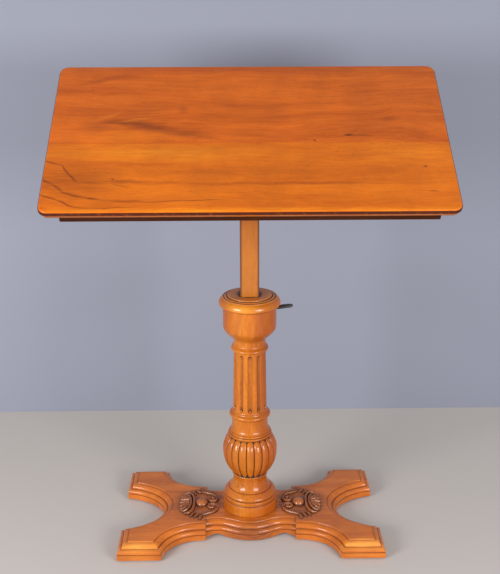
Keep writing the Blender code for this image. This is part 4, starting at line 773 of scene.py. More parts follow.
def wood(name, light, dark, grain, amount, coat, shine, marks=None, rough=0.0, dirt=None, **place):
    """A polished wood; grain is its figure, streaks and pores, marks tints some places, some of
    them with painted light or shade; dirt colours the patina, on the boards also their painted
    shade.
    """
    material, net, shader, vector = new_finish(name, **place)
    figure, streaks, pores = grain
    fibres = grouped(net, "wood grain", grain_group, {
        "Vector": vector, "Light": rgba(light), "Dark": rgba(dark), "Figure": figure,
        "Streaks": streaks, "Pores": pores})
    colour = marks(net, vector, fibres["Color"]) if marks else fibres["Color"]
    mask = net.node("ShaderNodeAttribute", attribute_name="patina").outputs["Fac"]
    old = grouped(net, "patina", patina_group, {
        "Vector": vector, "Color": colour, "Roughness": fibres["Roughness"], "Mask": mask,
        "DirtAndShade": rgba(dirt or bpy.context.scene.table_finish.patina), "Amount": amount})
    shade(net, shader, fibres["Height"], 0.25, 0.0002, Base_Color=old["Color"],
          Roughness=net.math("ADD", old["Roughness"], rough), Specular_IOR_Level=shine,
          Coat_Weight=coat, Coat_Roughness=0.12)
    return material


def metal(name, bright, tarnish, roughness):
    """A handled metal."""
    material, net, shader, vector = new_finish(name)
    worn = grouped(net, "handled metal", metal_group, {
        "Vector": vector, "Bright": rgba(bright), "Tarnish": rgba(tarnish),
        "Roughness": roughness})
    shade(net, shader, worn["Height"], 0.12, 0.0001, Base_Color=worn["Color"],
          Roughness=worn["Roughness"], Metallic=1.0)
    return material


def soft_finish(name, first, second, scale, roughness):
    """Leather or felt."""
    material, net, shader, vector = new_finish(name)
    nap = grouped(net, "nap", nap_group, {
        "Vector": vector, "First": rgba(first), "Second": rgba(second), "Scale": scale})
    shade(net, shader, nap["Height"], 0.5, 0.0003, Base_Color=nap["Color"], Roughness=roughness)
    return material


# Centre, half size, turn, colour, strength and raggedness of each mark, in plan from the middle
REAR_MARKS = (
    ((0.0, 0.192), (0.460, 0.020), 0.0, (0.40, 0.062, 0.012), 0.50, 0.2),
    ((0.0, 0.1685), (0.460, 0.0014), 0.0, (0.26, 0.045, 0.008), 0.45, 0.3),
    ((-0.240, 0.062), (0.100, 0.030), 0.20, (0.42, 0.072, 0.006), 0.45, 0.5),
    ((-0.230, -0.008), (0.150, 0.020), 0.0, (0.84, 0.200, 0.006), 0.75, 0.4),
    ((0.020, -0.004), (0.160, 0.010), -0.05, (0.38, 0.066, 0.006), 0.60, 0.5),
    ((-0.212, 0.027), (0.080, 0.013), -0.14, (0.17, 0.030, 0.004), 0.70, 0.6),
    ((-0.130, 0.002), (0.140, 0.012), -0.20, (0.24, 0.042, 0.004), 0.65, 0.5),
    ((-0.290, 0.024), (0.062, 0.018), 0.05, (0.27, 0.048, 0.005), 0.55, 0.5),
    ((-0.268, 0.052), (0.052, 0.006), 0.42, (0.74, 0.190, 0.012), 0.50, 0.4),
    ((-0.215, 0.041), (0.042, 0.005), 0.20, (0.76, 0.200, 0.014), 0.50, 0.4),
    ((-0.128, 0.069), (0.014, 0.020), 0.0, (0.28, 0.048, 0.006), 0.45, 0.4),
    ((-0.295, 0.160), (0.055, 0.010), 0.33, (0.28, 0.046, 0.008), 0.50, 0.4),
    ((0.190, -0.0055), (0.0125, 0.0034), 0.0, (0.05, 0.012, 0.003), 0.95, 0.2),
    ((0.213, -0.0068), (0.030, 0.0014), 0.0, (0.12, 0.024, 0.004), 0.85, 0.2),
    ((0.204, 0.006), (0.018, 0.0012), 0.65, (0.16, 0.034, 0.005), 0.70, 0.2),
    ((0.1233, -0.0204), (0.0062, 0.0026), -0.85, (0.05, 0.012, 0.003), 0.95, 0.2),
    ((0.273, 0.0428), (0.024, 0.013), 0.1, (0.24, 0.042, 0.006), 0.50, 0.4),
    ((0.289, 0.0137), (0.016, 0.004), 0.1, (0.24, 0.042, 0.006), 0.50, 0.3),
    ((0.230, 0.020), (0.160, 0.022), 0.04, (0.38, 0.064, 0.006), 0.45, 0.5))
FRONT_MARKS = (
    ((-0.150, -0.052), (0.270, 0.028), 0.0, (0.86, 0.270, 0.012), 0.60, 0.4),
    ((0.300, -0.060), (0.140, 0.028), 0.0, (0.84, 0.250, 0.012), 0.40, 0.4),
    ((0.0, -0.102), (0.380, 0.013), 0.01, (0.42, 0.080, 0.005), 0.50, 0.5),
    ((0.060, -0.135), (0.320, 0.005), 0.0, (0.36, 0.066, 0.004), 0.60, 0.4),
    ((-0.110, -0.177), (0.150, 0.0016), 0.045, (0.16, 0.034, 0.004), 0.70, 0.3),
    ((-0.330, -0.125), (0.120, 0.060), 0.0, (0.36, 0.070, 0.004), 0.70, 0.4),
    ((-0.230, -0.128), (0.140, 0.010), -0.05, (0.30, 0.056, 0.004), 0.60, 0.5),
    # Painted highlight along the lit rounded front edge of the board
    ((0.0, -0.2005), (0.900, 0.0062), 0.0, (0.84, 0.250, 0.010), 0.60, 0.0),
    ((-0.2506, -0.1222), (0.0030, 0.0026), 0.0, (0.04, 0.010, 0.003), 0.95, 0.1),
    ((0.3236, -0.093), (0.0046, 0.0026), 0.2, (0.04, 0.010, 0.003), 0.95, 0.1),
    ((0.3335, -0.157), (0.012, 0.0020), 0.0, (0.12, 0.026, 0.003), 0.60, 0.6))
# Half width, strength and points of the dark lines that run in from the front board's left end
FRONT_LINES = (
    (0.0030, 0.75, ((-0.386, -0.069), (-0.346, -0.086), (-0.336, -0.103), (-0.314, -0.130))),
    (0.0036, 0.50, ((-0.314, -0.131), (-0.251, -0.134), (-0.219, -0.143))),
    (0.0046, 0.70, ((-0.386, -0.117), (-0.358, -0.135), (-0.337, -0.156), (-0.300, -0.167),
                    (-0.264, -0.177), (-0.200, -0.179))),
    (0.0030, 0.75, ((-0.386, -0.156), (-0.343, -0.175), (-0.320, -0.190))),
    (0.0024, 0.55, ((-0.320, -0.190), (-0.292, -0.197), (-0.205, -0.193))),
    (0.0050, 0.45, ((-0.349, -0.154), (-0.284, -0.168))))
BASE_MARKS = (
    # Painted light on the front faces of the two front feet, where they catch the lamps
    ((-0.2295, -0.1510), (0.070, 0.0135), 0.0, (0.98, 0.390, 0.070), 0.90, 0.1),
    ((0.2295, -0.1510), (0.070, 0.0135), 0.0, (0.98, 0.390, 0.070), 0.90, 0.1),
    ((0.0, -0.094), (0.120, 0.030), 0.0, (0.25, 0.070, 0.026), 0.85, 0.2),
    ((0.112, 0.0), (0.070, 0.080), 0.0, (0.17, 0.044, 0.020), 0.85, 0.3),
    ((-0.112, 0.0), (0.070, 0.080), 0.0, (0.18, 0.046, 0.018), 0.78, 0.3),
    # Painted contact shadow round the column's foot, with a dark stain
    ((0.0, 0.0), (0.080, 0.078), 0.0, (0.06, 0.018, 0.009), 0.85, 0.3))

def line_marks(lines):
    """The marks that draw each line as a run of slim ellipses that overlap."""
    marks = []
    for half, strength, points in lines:
        for (ax, ay), (bx, by) in zip(points, points[1:]):
            reach = math.hypot(bx - ax, by - ay)
            marks.append((((ax + bx) / 2, (ay + by) / 2), (0.68 * reach + 0.004, half),
                          math.atan2(by - ay, bx - ax), LINE_COLOUR, strength, 0.3))
    return tuple(marks)


def ellipse_mask(net, vector, centre, size, turn, ragged):
    """A soft mask round a place in the plan, with its edge broken by noise."""
    local = net.node("ShaderNodeMapping", {
        "Vector": vector, "Location": (*centre, 0.0), "Rotation": (0.0, 0.0, turn),
        "Scale": (*size, 10.0)}, vector_type="TEXTURE").outputs["Vector"]
    cloud = net.noise(vector, 7.0, 6.0, 0.5, (1.0, 8.0, 8.0))
    away = net.vector("LENGTH", net.vector("MULTIPLY", local, (1.0, 1.0, 0.0)), output="Value")
    broken = net.math("MULTIPLY", net.math("SUBTRACT", cloud, 0.5), ragged * 3)
    return net.remap(net.math("ADD", away, broken), 0.15, 1.0, 1.0, 0.0)


def painted_marks(table, middle=0.0):
    """Clouds, streaks and knots of a piece, placed in its plan; some of the marks are painted light
    or shade.
    """
    def paint(net, vector, colour):
        wave = net.noise(vector, 24.0, 3.0, output="Color")
        sway = net.vector("MULTIPLY_ADD", wave, (0.010, 0.010, 0.0), (-0.005, -0.005, 0.0))
        swayed = net.vector("ADD", vector, sway)
        fibre = net.noise(vector, 6.0, 5.0, 0.65, (3.0, 55.0, 55.0))
        fibre = net.remap(fibre, 0.36, 0.60, 0.40, 1.15)
        for (x, y), size, turn, tint, strength, ragged in table:
            mask = ellipse_mask(net, swayed, (x, y + middle), size, turn, ragged)
            factor = net.math("MULTIPLY", mask, strength)
            if min(size) > SOLID_MARK:
                factor = net.math("MULTIPLY", factor, fibre)
            colour = net.mix(factor, colour, rgba(tint))
        return colour
    return paint


def torus_light_and_side_shade(net, vector, colour):
    """Painted light and shade: a painted highlight makes the turned wood golden at the collar's
    torus, and painted shade makes it redder towards both its sides.
    """
    up, _, left = net.node("ShaderNodeSeparateXYZ", {0: vector}).outputs
    torus_highlight = net.remap(up, 0.4935, 0.4985, 0.0, 0.50)
    colour = net.mix(torus_highlight, colour, rgba(TORUS_HIGHLIGHT_COLOUR))
    # Painted shade: darker and redder towards both sides of the turned pieces
    share = net.math("MAXIMUM", net.remap(left, 0.010, -0.034, 0.0, 0.62),
                     net.remap(left, 0.030, 0.050, 0.0, 0.50))
    return net.mix(share, colour, rgba(SIDE_SHADE_COLOUR))


def shaded_post(net, vector, colour):
    """Painted shade: the post is darker at its arrises, and a painted shadow of the top darkens its
    upper part.
    """
    up, _, left = net.node("ShaderNodeSeparateXYZ", {0: vector}).outputs
    colour = net.mix(net.remap(up, 0.615, 0.685, 0.0, 0.70), colour, rgba(POST_SHADOW_COLOUR))
    arris_shade = net.remap(net.math("ABSOLUTE", left), 0.0140, 0.0176, 0.0, 0.90)
    return net.mix(arris_shade, colour, rgba(ARRIS_SHADE_COLOUR))


def finish_named(name):
    """A finish of the table, built when it is first used."""
    if name in bpy.data.materials:
        return bpy.data.materials[name]
    look = bpy.context.scene.table_finish
    board = {"amount": 0.85, "coat": 0.05, "shine": 0.22, "dirt": BOARD_DIRT_AND_SHADE, **BOARD_PLACE}
    # The under-frame and bearers are painted near black, as painted shadow under the top
    in_shadow = {"light": look.under_frame_shadow, "dark": [0.55 * part for part in look.under_frame_shadow],
              "grain": (0.5, 0.5, 0.7), "amount": 0.8, "coat": 0.0, "rough": 0.35}
    woods = {
        "front_board": dict(
            light=look.front_light, dark=look.front_dark, grain=(0.45, 0.40, 0.35),
            marks=painted_marks(FRONT_MARKS + line_marks(FRONT_LINES), TOP_MIDDLE), **board),
        "rear_board": dict(
            light=look.rear_light, dark=look.rear_dark, grain=(0.50, 0.42, 0.45),
            marks=painted_marks(REAR_MARKS, TOP_MIDDLE), **board),
        "column": dict(
            light=look.column_light, dark=look.column_dark, grain=(0.45, 0.45, 0.55),
            amount=1.0, coat=0.14, shine=0.4, marks=torus_light_and_side_shade, **UPRIGHT_GRAIN),
        "post": dict(
            light=look.post_light, dark=look.post_dark, grain=(0.40, 0.40, 0.45),
            amount=0.6, coat=0.15, shine=0.35, marks=shaded_post, **UPRIGHT_GRAIN),
        "cap": dict(
            light=look.cap_light, dark=look.cap_dark, grain=(0.5, 0.4, 0.6),
            amount=1.0, coat=0.15, shine=0.35),
        "base": dict(
            light=look.base_light, dark=look.base_dark, grain=(0.50, 0.40, 0.55),
            amount=1.0, coat=0.18, shine=0.4, marks=painted_marks(BASE_MARKS)),
        "carved": dict(
            light=look.carved_light, dark=look.carved_dark, grain=(0.5, 0.5, 0.6),
            amount=1.0, coat=0.25, shine=0.4),
        "under_frame": dict(shine=0.03, **in_shadow, **BOARD_PLACE),
        "bearer_wood": dict(shine=0.12, **in_shadow, **DEPTH_GRAIN)}
    if name in woods:
        return wood(name, **woods[name])
    if name in METALS:
        return metal(name, *METALS[name])
    return soft_finish(name, *SOFT[name])


def dress(finish, *names):
    """Give carried-over CAD nodes their finish."""
    for name in names:
        mesh = NODES[name].data
        mesh.materials.clear()
        mesh.materials.append(finish_named(finish))


# ------------------------------------------------------------------ pieces


class TablePiece:
    """What the operators share."""

    bl_options = {"REGISTER", "UNDO"}


class TABLE_OT_base(TablePiece, bpy.types.Operator):
    """Two moulded wings with their feet and the block between them"""

    bl_idname = "table.base"
    bl_label = "Base"

    def levels(self):
        top = PAD_HEIGHT + PLINTH_HEIGHT
        height = BASE_THICKNESS - PLINTH_HEIGHT
        return [(0.0, PAD_HEIGHT), (0.0, top)] + [
            (inset * MOULDING_INSET, top + level * height) for inset, level in MOULDING]

    def darks(self):
        outline = [(-inset / MM, height / MM) for inset, height in self.levels()]
        flat = [(outline[-1][0] - step, outline[-1][1]) for step in range(4, 0, -1)]
        return cavity(flat + outline[::-1], 2.4, 0.75)[:3:-1]

    def wing(self, name, side):
        work = moulded(lambda inset: wing_ring(side, inset), self.levels(), self.darks())
        saw(work, (side * (BLOCK_LENGTH + GAP) / 2, 0, 0), (-side, 0, 0))
        as_piece(
            f"base_wing_{name}_moulded", work, "root", "base", f"base_wing_{name}")

    def block(self):
        work = moulded(block_ring, self.levels(), self.darks())
        for side in (-1, 1):
            saw(work, (side * (BLOCK_LENGTH - GAP) / 2, 0, 0), (side, 0, 0))
        radius = (ARCH_WIDTH ** 2 / 4 + ARCH_RISE ** 2) / (2 * ARCH_RISE)
        cutters = [
            rod_shape(radius, BASE_DEPTH,
                      (side * ARCH_X, -BASE_DEPTH / 2, PAD_HEIGHT + ARCH_RISE - radius), 160)
            for side in (-1, 1)]
        cutters += [rod_shape(BOLT_HOLE, 0.04, (0, 0, 0), 32, lying=False),
                    rod_shape(*NUT_RECESS, (0, 0, 0), 48, lying=False)]
        as_piece(
            "base_block_moulded", carve(work, cutters), "root", "base", "base_centre_block")

    def execute(self, context):
        self.wing("left", -1)
        self.wing("right", 1)
        self.block()
        dress("under_frame", "base_tongue_left", "base_tongue_right")
        dress("leather", *(name for name in NODES if name.startswith("foot_pad_")))
        return {"FINISHED"}


class TABLE_OT_carvings(TablePiece, bpy.types.Operator):
    """Carved fruit, leaves and scrolls beside the column"""

    bl_idname = "table.carvings"
    bl_label = "Carvings"

    def forms(self):
        """The carved forms with their grooves and the box round each."""
        volute = []
        x, y = VOLUTE_EYE
        for step in range(VOLUTE_STEPS + 1):
            share = step / VOLUTE_STEPS
            angle = math.radians(630 - 450 * share)
            radius = 1.2 + 9.3 * share ** 0.8
            volute.append((x + radius * math.cos(angle), y + radius * math.sin(angle),
                           2.3 + 1.5 * share, 8.0 + 1.2 * share))
        return [
            (run, depth, spread, min(x - r for x, _, r, _ in run), max(x + r for x, _, r, _ in run),
             min(y - r for _, y, r, _ in run), max(y + r for _, y, r, _ in run))
            for run, depth, spread in ((volute, 0.35, 0.55), *CARVED_FORMS)]

    def level(self, x, y, forms):
        """Height of the relief over the base at a place."""
        y = abs(y)
        away = ((x - FRUIT_X) ** 2 + y ** 2) / FRUIT_RADIUS ** 2
        best = FRUIT_HEIGHT * math.sqrt(1 - away) if away < 1 else 0.0
        for run, depth, spread, left, right, low, high in forms:
            if not (left < x < right and low < y < high):
                continue
            for (ax, ay, ar, ah), (bx, by, br, bh) in zip(run, run[1:]):
                dx, dy = bx - ax, by - ay
                share = max(0.0, min(1.0, ((x - ax) * dx + (y - ay) * dy) / (dx * dx + dy * dy)))
                radius = ar + share * (br - ar)
                gap = ((x - ax - share * dx) ** 2 + (y - ay - share * dy) ** 2) / radius ** 2
                if gap < 1:
                    groove = 1 - depth * math.exp(-gap / spread ** 2)
                    best = max(best, (ah + share * (bh - ah)) * math.sqrt(1 - gap) * groove)
        return best

    def heights(self, across, half):
        """Height of the relief at each column and row of the grid, and just round it."""
        forms = self.forms()
        known = {}
        for column in range(-2, across + 3):
            for row in range(half + 3):
                known[column, row] = self.level(
                    CARVED_X[0] + column * CARVED_STEP, row * CARVED_STEP, forms)
        return known

    def carving(self, name, side, known, across, half):
        work = bmesh.new()
        layer = work.verts.layers.float.new("patina")
        floor = (PAD_HEIGHT + BASE_THICKNESS) / MM
        bmesh.ops.create_grid(work, x_segments=across, y_segments=2 * half, size=1.0)
        rises = {}
        for vertex in work.verts:
            column, row = round((vertex.co.x + 1) / 2 * across), round(vertex.co.y * half)
            x, y = CARVED_X[0] + column * CARVED_STEP, row * CARVED_STEP
            rise = known[column, abs(row)]
            sunk = sum(known[column + i, abs(row + j)] for i, j in CARVED_ROUND) / 4 - rise
            dirt = 0.42 + 0.9 * max(0.0, 1 - rise / 4.5) + (1.1 if sunk > 0 else 0.35) * sunk
            if (x - FRUIT_X) ** 2 + y ** 2 < (0.86 * FRUIT_RADIUS) ** 2:
                dirt -= 0.34
            vertex[layer] = max(0.0, min(1.0, dirt))
            rises[vertex] = rise
            vertex.co = (side * x * MM, y * MM, (floor - 0.6 + rise) * MM)
        kept = {face for face in work.faces if max(rises[vertex] for vertex in face.verts) > 0.0}
        # Cells that would touch at a corner only are joined, so that the solid has no pinched edge
        for _ in range(3):
            for vertex in work.verts:
                near = [face for face in vertex.link_faces if face in kept]
                if len(near) == 2 and not set(near[0].edges) & set(near[1].edges):
                    kept.update(vertex.link_faces)
        bare = [face for face in work.faces if face not in kept]
        bmesh.ops.delete(work, geom=bare, context="FACES")
        grown = bmesh.ops.extrude_face_region(work, geom=work.faces[:], use_keep_orig=True)
        for vertex in grown["geom"]:
            if isinstance(vertex, bmesh.types.BMVert):
                vertex.co.z = (floor - 1.6) * MM
        bmesh.ops.recalc_face_normals(work, faces=work.faces)
        as_piece(f"carving_{name}_leaves", work, "root", "carved", f"carving_{name}",
                 sharp=75)

    def execute(self, context):
        across = round((CARVED_X[1] - CARVED_X[0]) / CARVED_STEP)
        half = round(CARVED_HALF / CARVED_STEP)
        known = self.heights(across, half)
        self.carving("left", -1, known, across, half)
        self.carving("right", 1, known, across, half)
        return {"FINISHED"}


class TABLE_OT_column(TablePiece, bpy.types.Operator):
    """Turned foot, gadrooned vase, fluted shaft, collar and cap"""

    bl_idname = "table.column"
    bl_label = "Column"

    def foot(self, steps):
        points = turned_points(FOOT_RUNS)
        points += [(BOLT_HOLE, 34.8 * MM, 0.0), (BOLT_HOLE, 108 * MM, 0.0)]
        as_piece("column_foot_turned", spin_profile(points, steps), "root", "column", "column_foot")

    def vase(self, shape):
        points = [(0.0, BORE_FLOOR * MM, 0.0)] + bore_wall(BORE_FLOOR, 262)
        points += turned_points(VASE_RUNS) + [
            (BOLT_HOLE, 108.3 * MM, 0.0), (BOLT_HOLE, 138.6 * MM, 0.0), (0.0, 138.6 * MM, 0.0)]
        work = spin_profile(points, 12 * shape.lobe_count, closed=False)
        layer = work.verts.layers.float["patina"]
        pitch = 2 * math.pi / shape.lobe_count
        for vertex in work.verts:
            height, radius = vertex.co.z / MM, vertex.co.xy.length
            if not LOBE_LOW <= height <= LOBE_HIGH or radius < 1.5 * BORE_HALF:
                continue
            angle = math.atan2(vertex.co.y, vertex.co.x) + math.pi / 2
            across = 2 * ((angle / pitch + 0.5) % 1.0) - 1
            half_width = radius * pitch / 2 / MM
            top = max(0.0, 1 - (LOBE_HIGH - height) / half_width)
            low = max(0.0, 1 - (height - LOBE_LOW) / (2.2 * half_width))
            rise = math.sqrt(max(0.0, 1 - across ** 2 - max(top, low) ** 2))
            vertex.co.xy *= 1 - shape.lobe_depth * (1 - rise) / radius
            vertex[layer] = max(vertex[layer] * (1 - rise), max(0.0, 1 - 1.9 * rise))
        as_piece("gadrooned_vase_carved", work, "root", "column", "gadrooned_vase",
                 sharp=48)

    def shaft_points(self):
        """The shaft's profile, with close rows where the flutes and beads end."""
        rows = [FLUTE_HIGH - 0.4 * step for step in range(1, 16)]
        rows += [rows[-1] - 6.0 * step for step in range(1, 19)]
        rows += [FLUTE_LOW + 0.4 * step for step in range(16, 0, -1)]
        (top, top_radius), (low, low_radius) = SHAFT_RUNS[3]
        slope = (low_radius - top_radius) / (top - low)
        rows = {row for row in rows if low + 0.4 < row < top - 0.4} | {low}
        return bore_wall(262.3, 406) + turned_points(SHAFT_RUNS[:3]) + [
            ((top_radius + slope * (top - row)) * MM, row * MM, 0.0)
            for row in sorted(rows, reverse=True)] + turned_points(SHAFT_RUNS[4:])[1:]

    def shaft(self, shape):
        work = spin_profile(self.shaft_points(), 32 * shape.flute_count)
        layer = work.verts.layers.float["patina"]
        gouge, depth = shape.flute_radius / MM, shape.flute_depth / MM
        pitch = 2 * math.pi / shape.flute_count
        for vertex in work.verts:
            radius, height = vertex.co.xy.length / MM, vertex.co.z / MM
            if radius < 30 or not FLUTE_LOW < height < FLUTE_HIGH:
                continue
            angle = math.atan2(vertex.co.y, vertex.co.x) + math.pi / 2
            turn = ((angle / pitch + 0.5) % 1.0 - 0.5) * pitch
            centre = radius + gouge - depth
            end = max(0.0, height - (FLUTE_HIGH - gouge), (FLUTE_LOW + gouge) - height)
            reach = gouge ** 2 - end ** 2 - (centre * math.sin(turn)) ** 2
            sunk = radius - centre * math.cos(turn) + math.sqrt(max(0.0, reach))
            if reach <= 0 or sunk <= 0:
                continue
            vertex.co.xy *= 1 - sunk / radius
            sunk /= depth
            low_dirt = max(0.0, 1 - (height - FLUTE_LOW) / 12)
            top_dirt = max(0.0, 1 - (FLUTE_HIGH - height) / 7)
            vertex[layer] = min(1.0, 0.30 * sunk + 0.8 * sunk * max(low_dirt, top_dirt))
        for index in range(shape.flute_count):
            turn = -math.pi / 2 + pitch * index
            ball = bmesh.ops.create_uvsphere(
                work, u_segments=14, v_segments=10, radius=shape.bead_radius)
            place = BEAD_REACH * math.cos(turn), BEAD_REACH * math.sin(turn), BEAD_HEIGHT
            bmesh.ops.translate(work, verts=ball["verts"], vec=Vector(place) * MM)
        as_piece("fluted_shaft_carved", work, "root", "column", "fluted_shaft",
                 sharp=32)

    def collar(self, steps):
        work = spin_profile(bore_wall(406.3, 509.9) + turned_points(COLLAR_RUNS), steps)
        cutters = [block_shape(*room) for room in (SHOE_ROOM, LEVER_ROOM)]
        cutters += [rod_shape(*hole) for hole in (PIN_HOLE, SCREW_HOLE, HEAD_HOLE)]
        work = carve(work, cutters)
        as_piece("collar_cup_turned", work, "root", "column", "collar_cup")

    def cap(self, steps):
        rings = [(r, h, min(1.0, 1.2 * dark + 0.15)) for r, h, dark in turned_points(CAP_RUNS)]
        work = spin_profile(bore_wall(510.2, 516.4, 0.8) + rings, steps)
        as_piece("collar_cap_turned", work, "root", "cap", "collar_cap")

    def execute(self, context):
        shape = context.scene.table_shape
        self.foot(shape.turning_steps)
        self.vase(shape)
        self.shaft(shape)
        self.collar(shape.turning_steps)
        self.cap(shape.turning_steps)
        dress("under_frame", "waist_dowel", "shaft_dowel", "collar_dowel", "cap_dowel")
        return {"FINISHED"}


class TABLE_OT_boards(TablePiece, bpy.types.Operator):
    """The two boards of the top with their moulded edge"""

    bl_idname = "table.boards"
    bl_label = "Boards"

    def execute(self, context):
        place = Matrix.Translation((0, 0, HINGE_Z)) @ Matrix.Rotation(TILT, 4, "X")
        low, high = BOARD_UNDER + EDGE_LOW, BOARD_UNDER + EDGE_HIGH
        levels = [(inset, low - depth) for inset, depth in EDGE_DOWN[::-1]]
        levels += [(0.0, low), (0.0, high)] + [(inset, high + depth) for inset, depth in EDGE_UP]
        # Painted shade: the undercut darkens towards the underside and the edge face is darkened;
        # the quirk at the top keeps its patina
        darks = [0.70 * (low - height) / EDGE_LOW for _, height in levels[:len(EDGE_DOWN)]]
        darks += EDGE_PATINA_AND_SHADE + [0.0] * (len(levels) - len(EDGE_DOWN) - len(EDGE_PATINA_AND_SHADE))
        for name, side in (("front", 1), ("rear", -1)):
            work = moulded(board_ring, levels, darks)
            saw(work, (0, BOARD_JOINT - side * GAP / 2, 0), (0, side, 0))
            bmesh.ops.transform(work, matrix=place, verts=work.verts)
            as_piece(f"top_board_{name}_moulded", work, "top", f"{name}_board",
                     f"top_board_{name}", sharp=30)
        dress("under_frame", "board_dowel_left", "board_dowel_right")
        return {"FINISHED"}


class TABLE_OT_under_frame(TablePiece, bpy.types.Operator):
    """Rails, bearers and their screws under the top"""

    bl_idname = "table.under_frame"
    bl_label = "Under-frame"

    def execute(self, context):
        dress("under_frame", "frame_rail_front", "frame_rail_rear")
        dress("bearer_wood", "frame_rail_left", "frame_rail_right", "bearer_left", "bearer_right")
        dress("steel", *(name for name in NODES if "_screw_" in name))
        return {"FINISHED"}


class TABLE_OT_post(TablePiece, bpy.types.Operator):
    """The square post with its hinge, and the felt it lands on"""

    bl_idname = "table.post"
    bl_label = "Post and hinge"

    def execute(self, context):
        dress("post", "square_post")
        dress("steel", "hinge_bolt", "hinge_nut", "column_tie_bolt", "tie_bolt_washer",
              "stop_screw")
        dress("brass", "hinge_washer_left", "hinge_washer_right", "clamp_bush")
        dress("felt", "post_buffer")
        return {"FINISHED"}


class TABLE_OT_clamp(TablePiece, bpy.types.Operator):
    """Quadrant stay, clamp knob and washers"""

    bl_idname = "table.clamp"
    bl_label = "Stay and clamp"

    def execute(self, context):
        dress("brass", "quadrant_stay", "clamp_knob", "clamp_washer")
        dress("leather", "friction_washer")
        return {"FINISHED"}


class TABLE_OT_lever(TablePiece, bpy.types.Operator):
    """Release lever, its pin and spring, and the brake shoe"""

    bl_idname = "table.lever"
    bl_label = "Lever and brake"

    def section(self, work, place, along, size):
        """A ring of the lever's arm, hollowed on top in the thumb piece."""
        (x, z), (wide, thick) = place, size
        dish = max(0.0, min(1.0, (x - 68) / 6)) * max(0.0, min(1.0, (86 - x) / 3))
        ring = []
        for number in range(LEVER_SIDES):
            angle = 2 * math.pi * number / LEVER_SIDES
            c, e = math.cos(angle), math.sin(angle)
            across = wide * math.copysign(abs(c) ** 0.8, c)
            up = thick * math.copysign(abs(e) ** 0.8, e)
            if e > 0:
                up -= 0.55 * thick * dish * e ** 2
            point = (x - along.y * up) * MM, across * MM, (z + along.x * up) * MM
            ring.append(work.verts.new(point))
        return ring

    def arm(self, work):
        """The lofted arm, closed at both ends."""
        path = smooth_run([station[:2] for station in LEVER_STATIONS])
        sizes = smooth_run([station[2:] for station in LEVER_STATIONS])
        rings = [self.section(work, place, direction_at(path, index), size)
                 for index, (place, size) in enumerate(zip(path, sizes))]
        for first, last in zip(rings, rings[1:]):
            loops = [work.edges.get(pair) or work.edges.new(pair) for ring in (first, last)
                     for pair in zip(ring, ring[1:] + ring[:1])]
            bmesh.ops.bridge_loops(work, edges=loops)
        for ring in (rings[0], rings[-1]):
            work.faces.new(ring)

    def lever(self):
        work = bmesh.new()
        self.arm(work)
        hub = bmesh.ops.create_cone(
            work, cap_ends=True, segments=32, radius1=HUB_RADIUS, radius2=HUB_RADIUS,
            depth=LEVER_WIDTH)
        place = Matrix.Translation((LEVER_X, 0, LEVER_Z)) @ LYING
        bmesh.ops.transform(work, matrix=place, verts=hub["verts"])
        nose = bmesh.ops.create_cube(work, size=1.0)["verts"]
        bmesh.ops.scale(work, vec=(LEVER_X - NOSE_X, LEVER_WIDTH, NOSE_HEIGHT), verts=nose)
        bmesh.ops.translate(work, vec=((LEVER_X + NOSE_X) / 2, 0, LEVER_Z + NOSE_RISE), verts=nose)
        bmesh.ops.recalc_face_normals(work, faces=work.faces)
        as_piece(
            "release_lever_forged", work, "lever", "dark_steel", "release_lever")

    def execute(self, context):
        self.lever()
        dress("dark_steel", "lever_spring")
        dress("steel", "lever_pin")
        dress("brass", "brake_shoe")
        return {"FINISHED"}


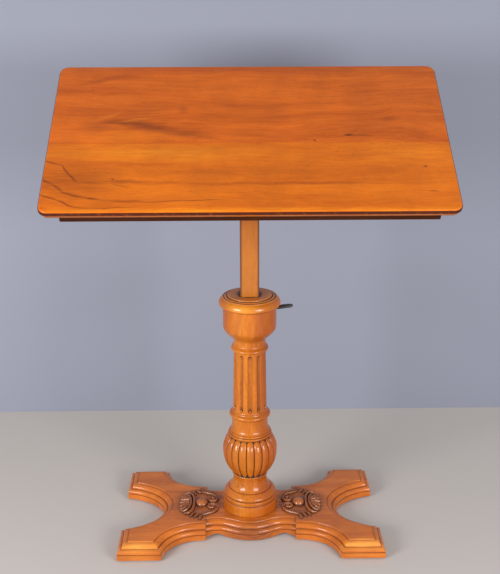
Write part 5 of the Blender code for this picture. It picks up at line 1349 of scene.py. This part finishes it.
class TABLE_OT_studio(TablePiece, bpy.types.Operator):
    """Floor, backdrop, lamps and camera"""

    bl_idname = "table.studio"
    bl_label = "Studio"

    def sheet(self, name, colour, corners, one_sided):
        work = bmesh.new()
        work.faces.new([work.verts.new(corner) for corner in corners])
        item = linked(name, work)
        material = bpy.data.materials.new(name)
        material.use_nodes = True
        net = NodeNet(material.node_tree)
        shader = net.tree.nodes["Principled BSDF"]
        shader.inputs["Base Color"].default_value = rgba(colour)
        shader.inputs["Roughness"].default_value = 0.9
        if one_sided:
            clear = net.node("ShaderNodeBsdfTransparent").outputs[0]
            behind = net.node("ShaderNodeNewGeometry").outputs["Backfacing"]
            pick = net.node("ShaderNodeMixShader", {0: behind, 1: shader.outputs[0], 2: clear})
            net.feed(net.tree.nodes["Material Output"].inputs["Surface"], pick.outputs[0])
            item.visible_shadow = False
            item.visible_diffuse = False
        item.data.materials.append(material)

    def lamp(self, name, power, azimuth):
        data = bpy.data.lights.new(name, "AREA")
        data.shape = "RECTANGLE"
        data.size, data.size_y = LAMP_SIZE
        data.energy = power
        item = bpy.data.objects.new(name, data)
        bpy.context.scene.collection.objects.link(item)
        a, e = math.radians(azimuth), math.radians(LAMP_ELEVATION)
        direction = Vector((math.sin(a) * math.cos(e), -math.cos(a) * math.cos(e), math.sin(e)))
        item.location = Vector((0, 0, LAMP_AIM)) + direction * LAMP_DISTANCE
        item.rotation_euler = (-direction).to_track_quat("-Z", "Y").to_euler()

    def camera(self):
        data = bpy.data.cameras.new("camera")
        data.sensor_fit = "VERTICAL"
        data.sensor_height = CAMERA_SENSOR
        data.lens = CAMERA_LENS
        data.clip_start, data.clip_end = 0.05, 60.0
        item = bpy.data.objects.new("camera", data)
        bpy.context.scene.collection.objects.link(item)
        item.matrix_world = (
            Matrix.Translation(CAMERA_PLACE) @ Matrix.Rotation(CAMERA_PAN, 4, "Z")
            @ Matrix.Rotation(CAMERA_PITCH, 4, "X") @ Matrix.Rotation(CAMERA_ROLL, 4, "Z"))
        bpy.context.scene.camera = item

    def execute(self, context):
        studio = context.scene.table_studio
        side, wall, low, high = STAGE_HALF, WALL_Y, WALL_LOW, WALL_HIGH
        self.sheet("floor", studio.floor_colour, (
            (-side, -side, 0), (side, -side, 0), (side, side, 0), (-side, side, 0)), False)
        self.sheet("backdrop", studio.wall_colour, (
            (side, wall, low), (side, wall, high), (-side, wall, high), (-side, wall, low)), True)
        self.lamp("left softbox", studio.lamp_power, -46)
        self.lamp("right softbox", studio.lamp_power * 0.80, 35)
        world = bpy.data.worlds.new("studio")
        world.use_nodes = True
        sky = world.node_tree.nodes["Background"]
        sky.inputs["Color"].default_value = rgba(SKY_COLOUR)
        sky.inputs["Strength"].default_value = studio.fill
        context.scene.world = world
        self.camera()
        context.scene.view_settings.view_transform = "Standard"
        return {"FINISHED"}


OPERATORS = (
    TABLE_OT_base, TABLE_OT_carvings, TABLE_OT_column, TABLE_OT_boards, TABLE_OT_under_frame,
    TABLE_OT_post, TABLE_OT_clamp, TABLE_OT_lever, TABLE_OT_studio)


class TABLE_PT_pieces(bpy.types.Panel):
    """Pieces and settings of the reading table"""

    bl_idname = "TABLE_PT_pieces"
    bl_label = "Reading table"
    bl_space_type = "VIEW_3D"
    bl_region_type = "UI"
    bl_category = "Reading table"

    def draw(self, context):
        scene = context.scene
        for settings in (scene.table_shape, scene.table_finish, scene.table_studio):
            column = self.layout.column(align=True)
            for name in settings.bl_rna.properties.keys():
                if name not in ("rna_type", "name"):
                    column.prop(settings, name)
        for operator in OPERATORS:
            self.layout.operator(operator.bl_idname)


CLASSES = (TableShape, TableFinish, StudioSettings) + OPERATORS + (TABLE_PT_pieces,)


def register():
    """Register the classes and their settings."""
    for item in CLASSES:
        bpy.utils.register_class(item)
    bpy.types.Scene.table_shape = bpy.props.PointerProperty(type=TableShape)
    bpy.types.Scene.table_finish = bpy.props.PointerProperty(type=TableFinish)
    bpy.types.Scene.table_studio = bpy.props.PointerProperty(type=StudioSettings)


def unregister():
    """Take the classes and settings away again."""
    del bpy.types.Scene.table_studio
    del bpy.types.Scene.table_finish
    del bpy.types.Scene.table_shape
    for item in reversed(CLASSES):
        bpy.utils.unregister_class(item)


def main():
    """Build every piece in order."""
    register()
    for operator in OPERATORS:
        family, name = operator.bl_idname.split(".")
        getattr(getattr(bpy.ops, family), name)()


if __name__ == "__main__":
    main()
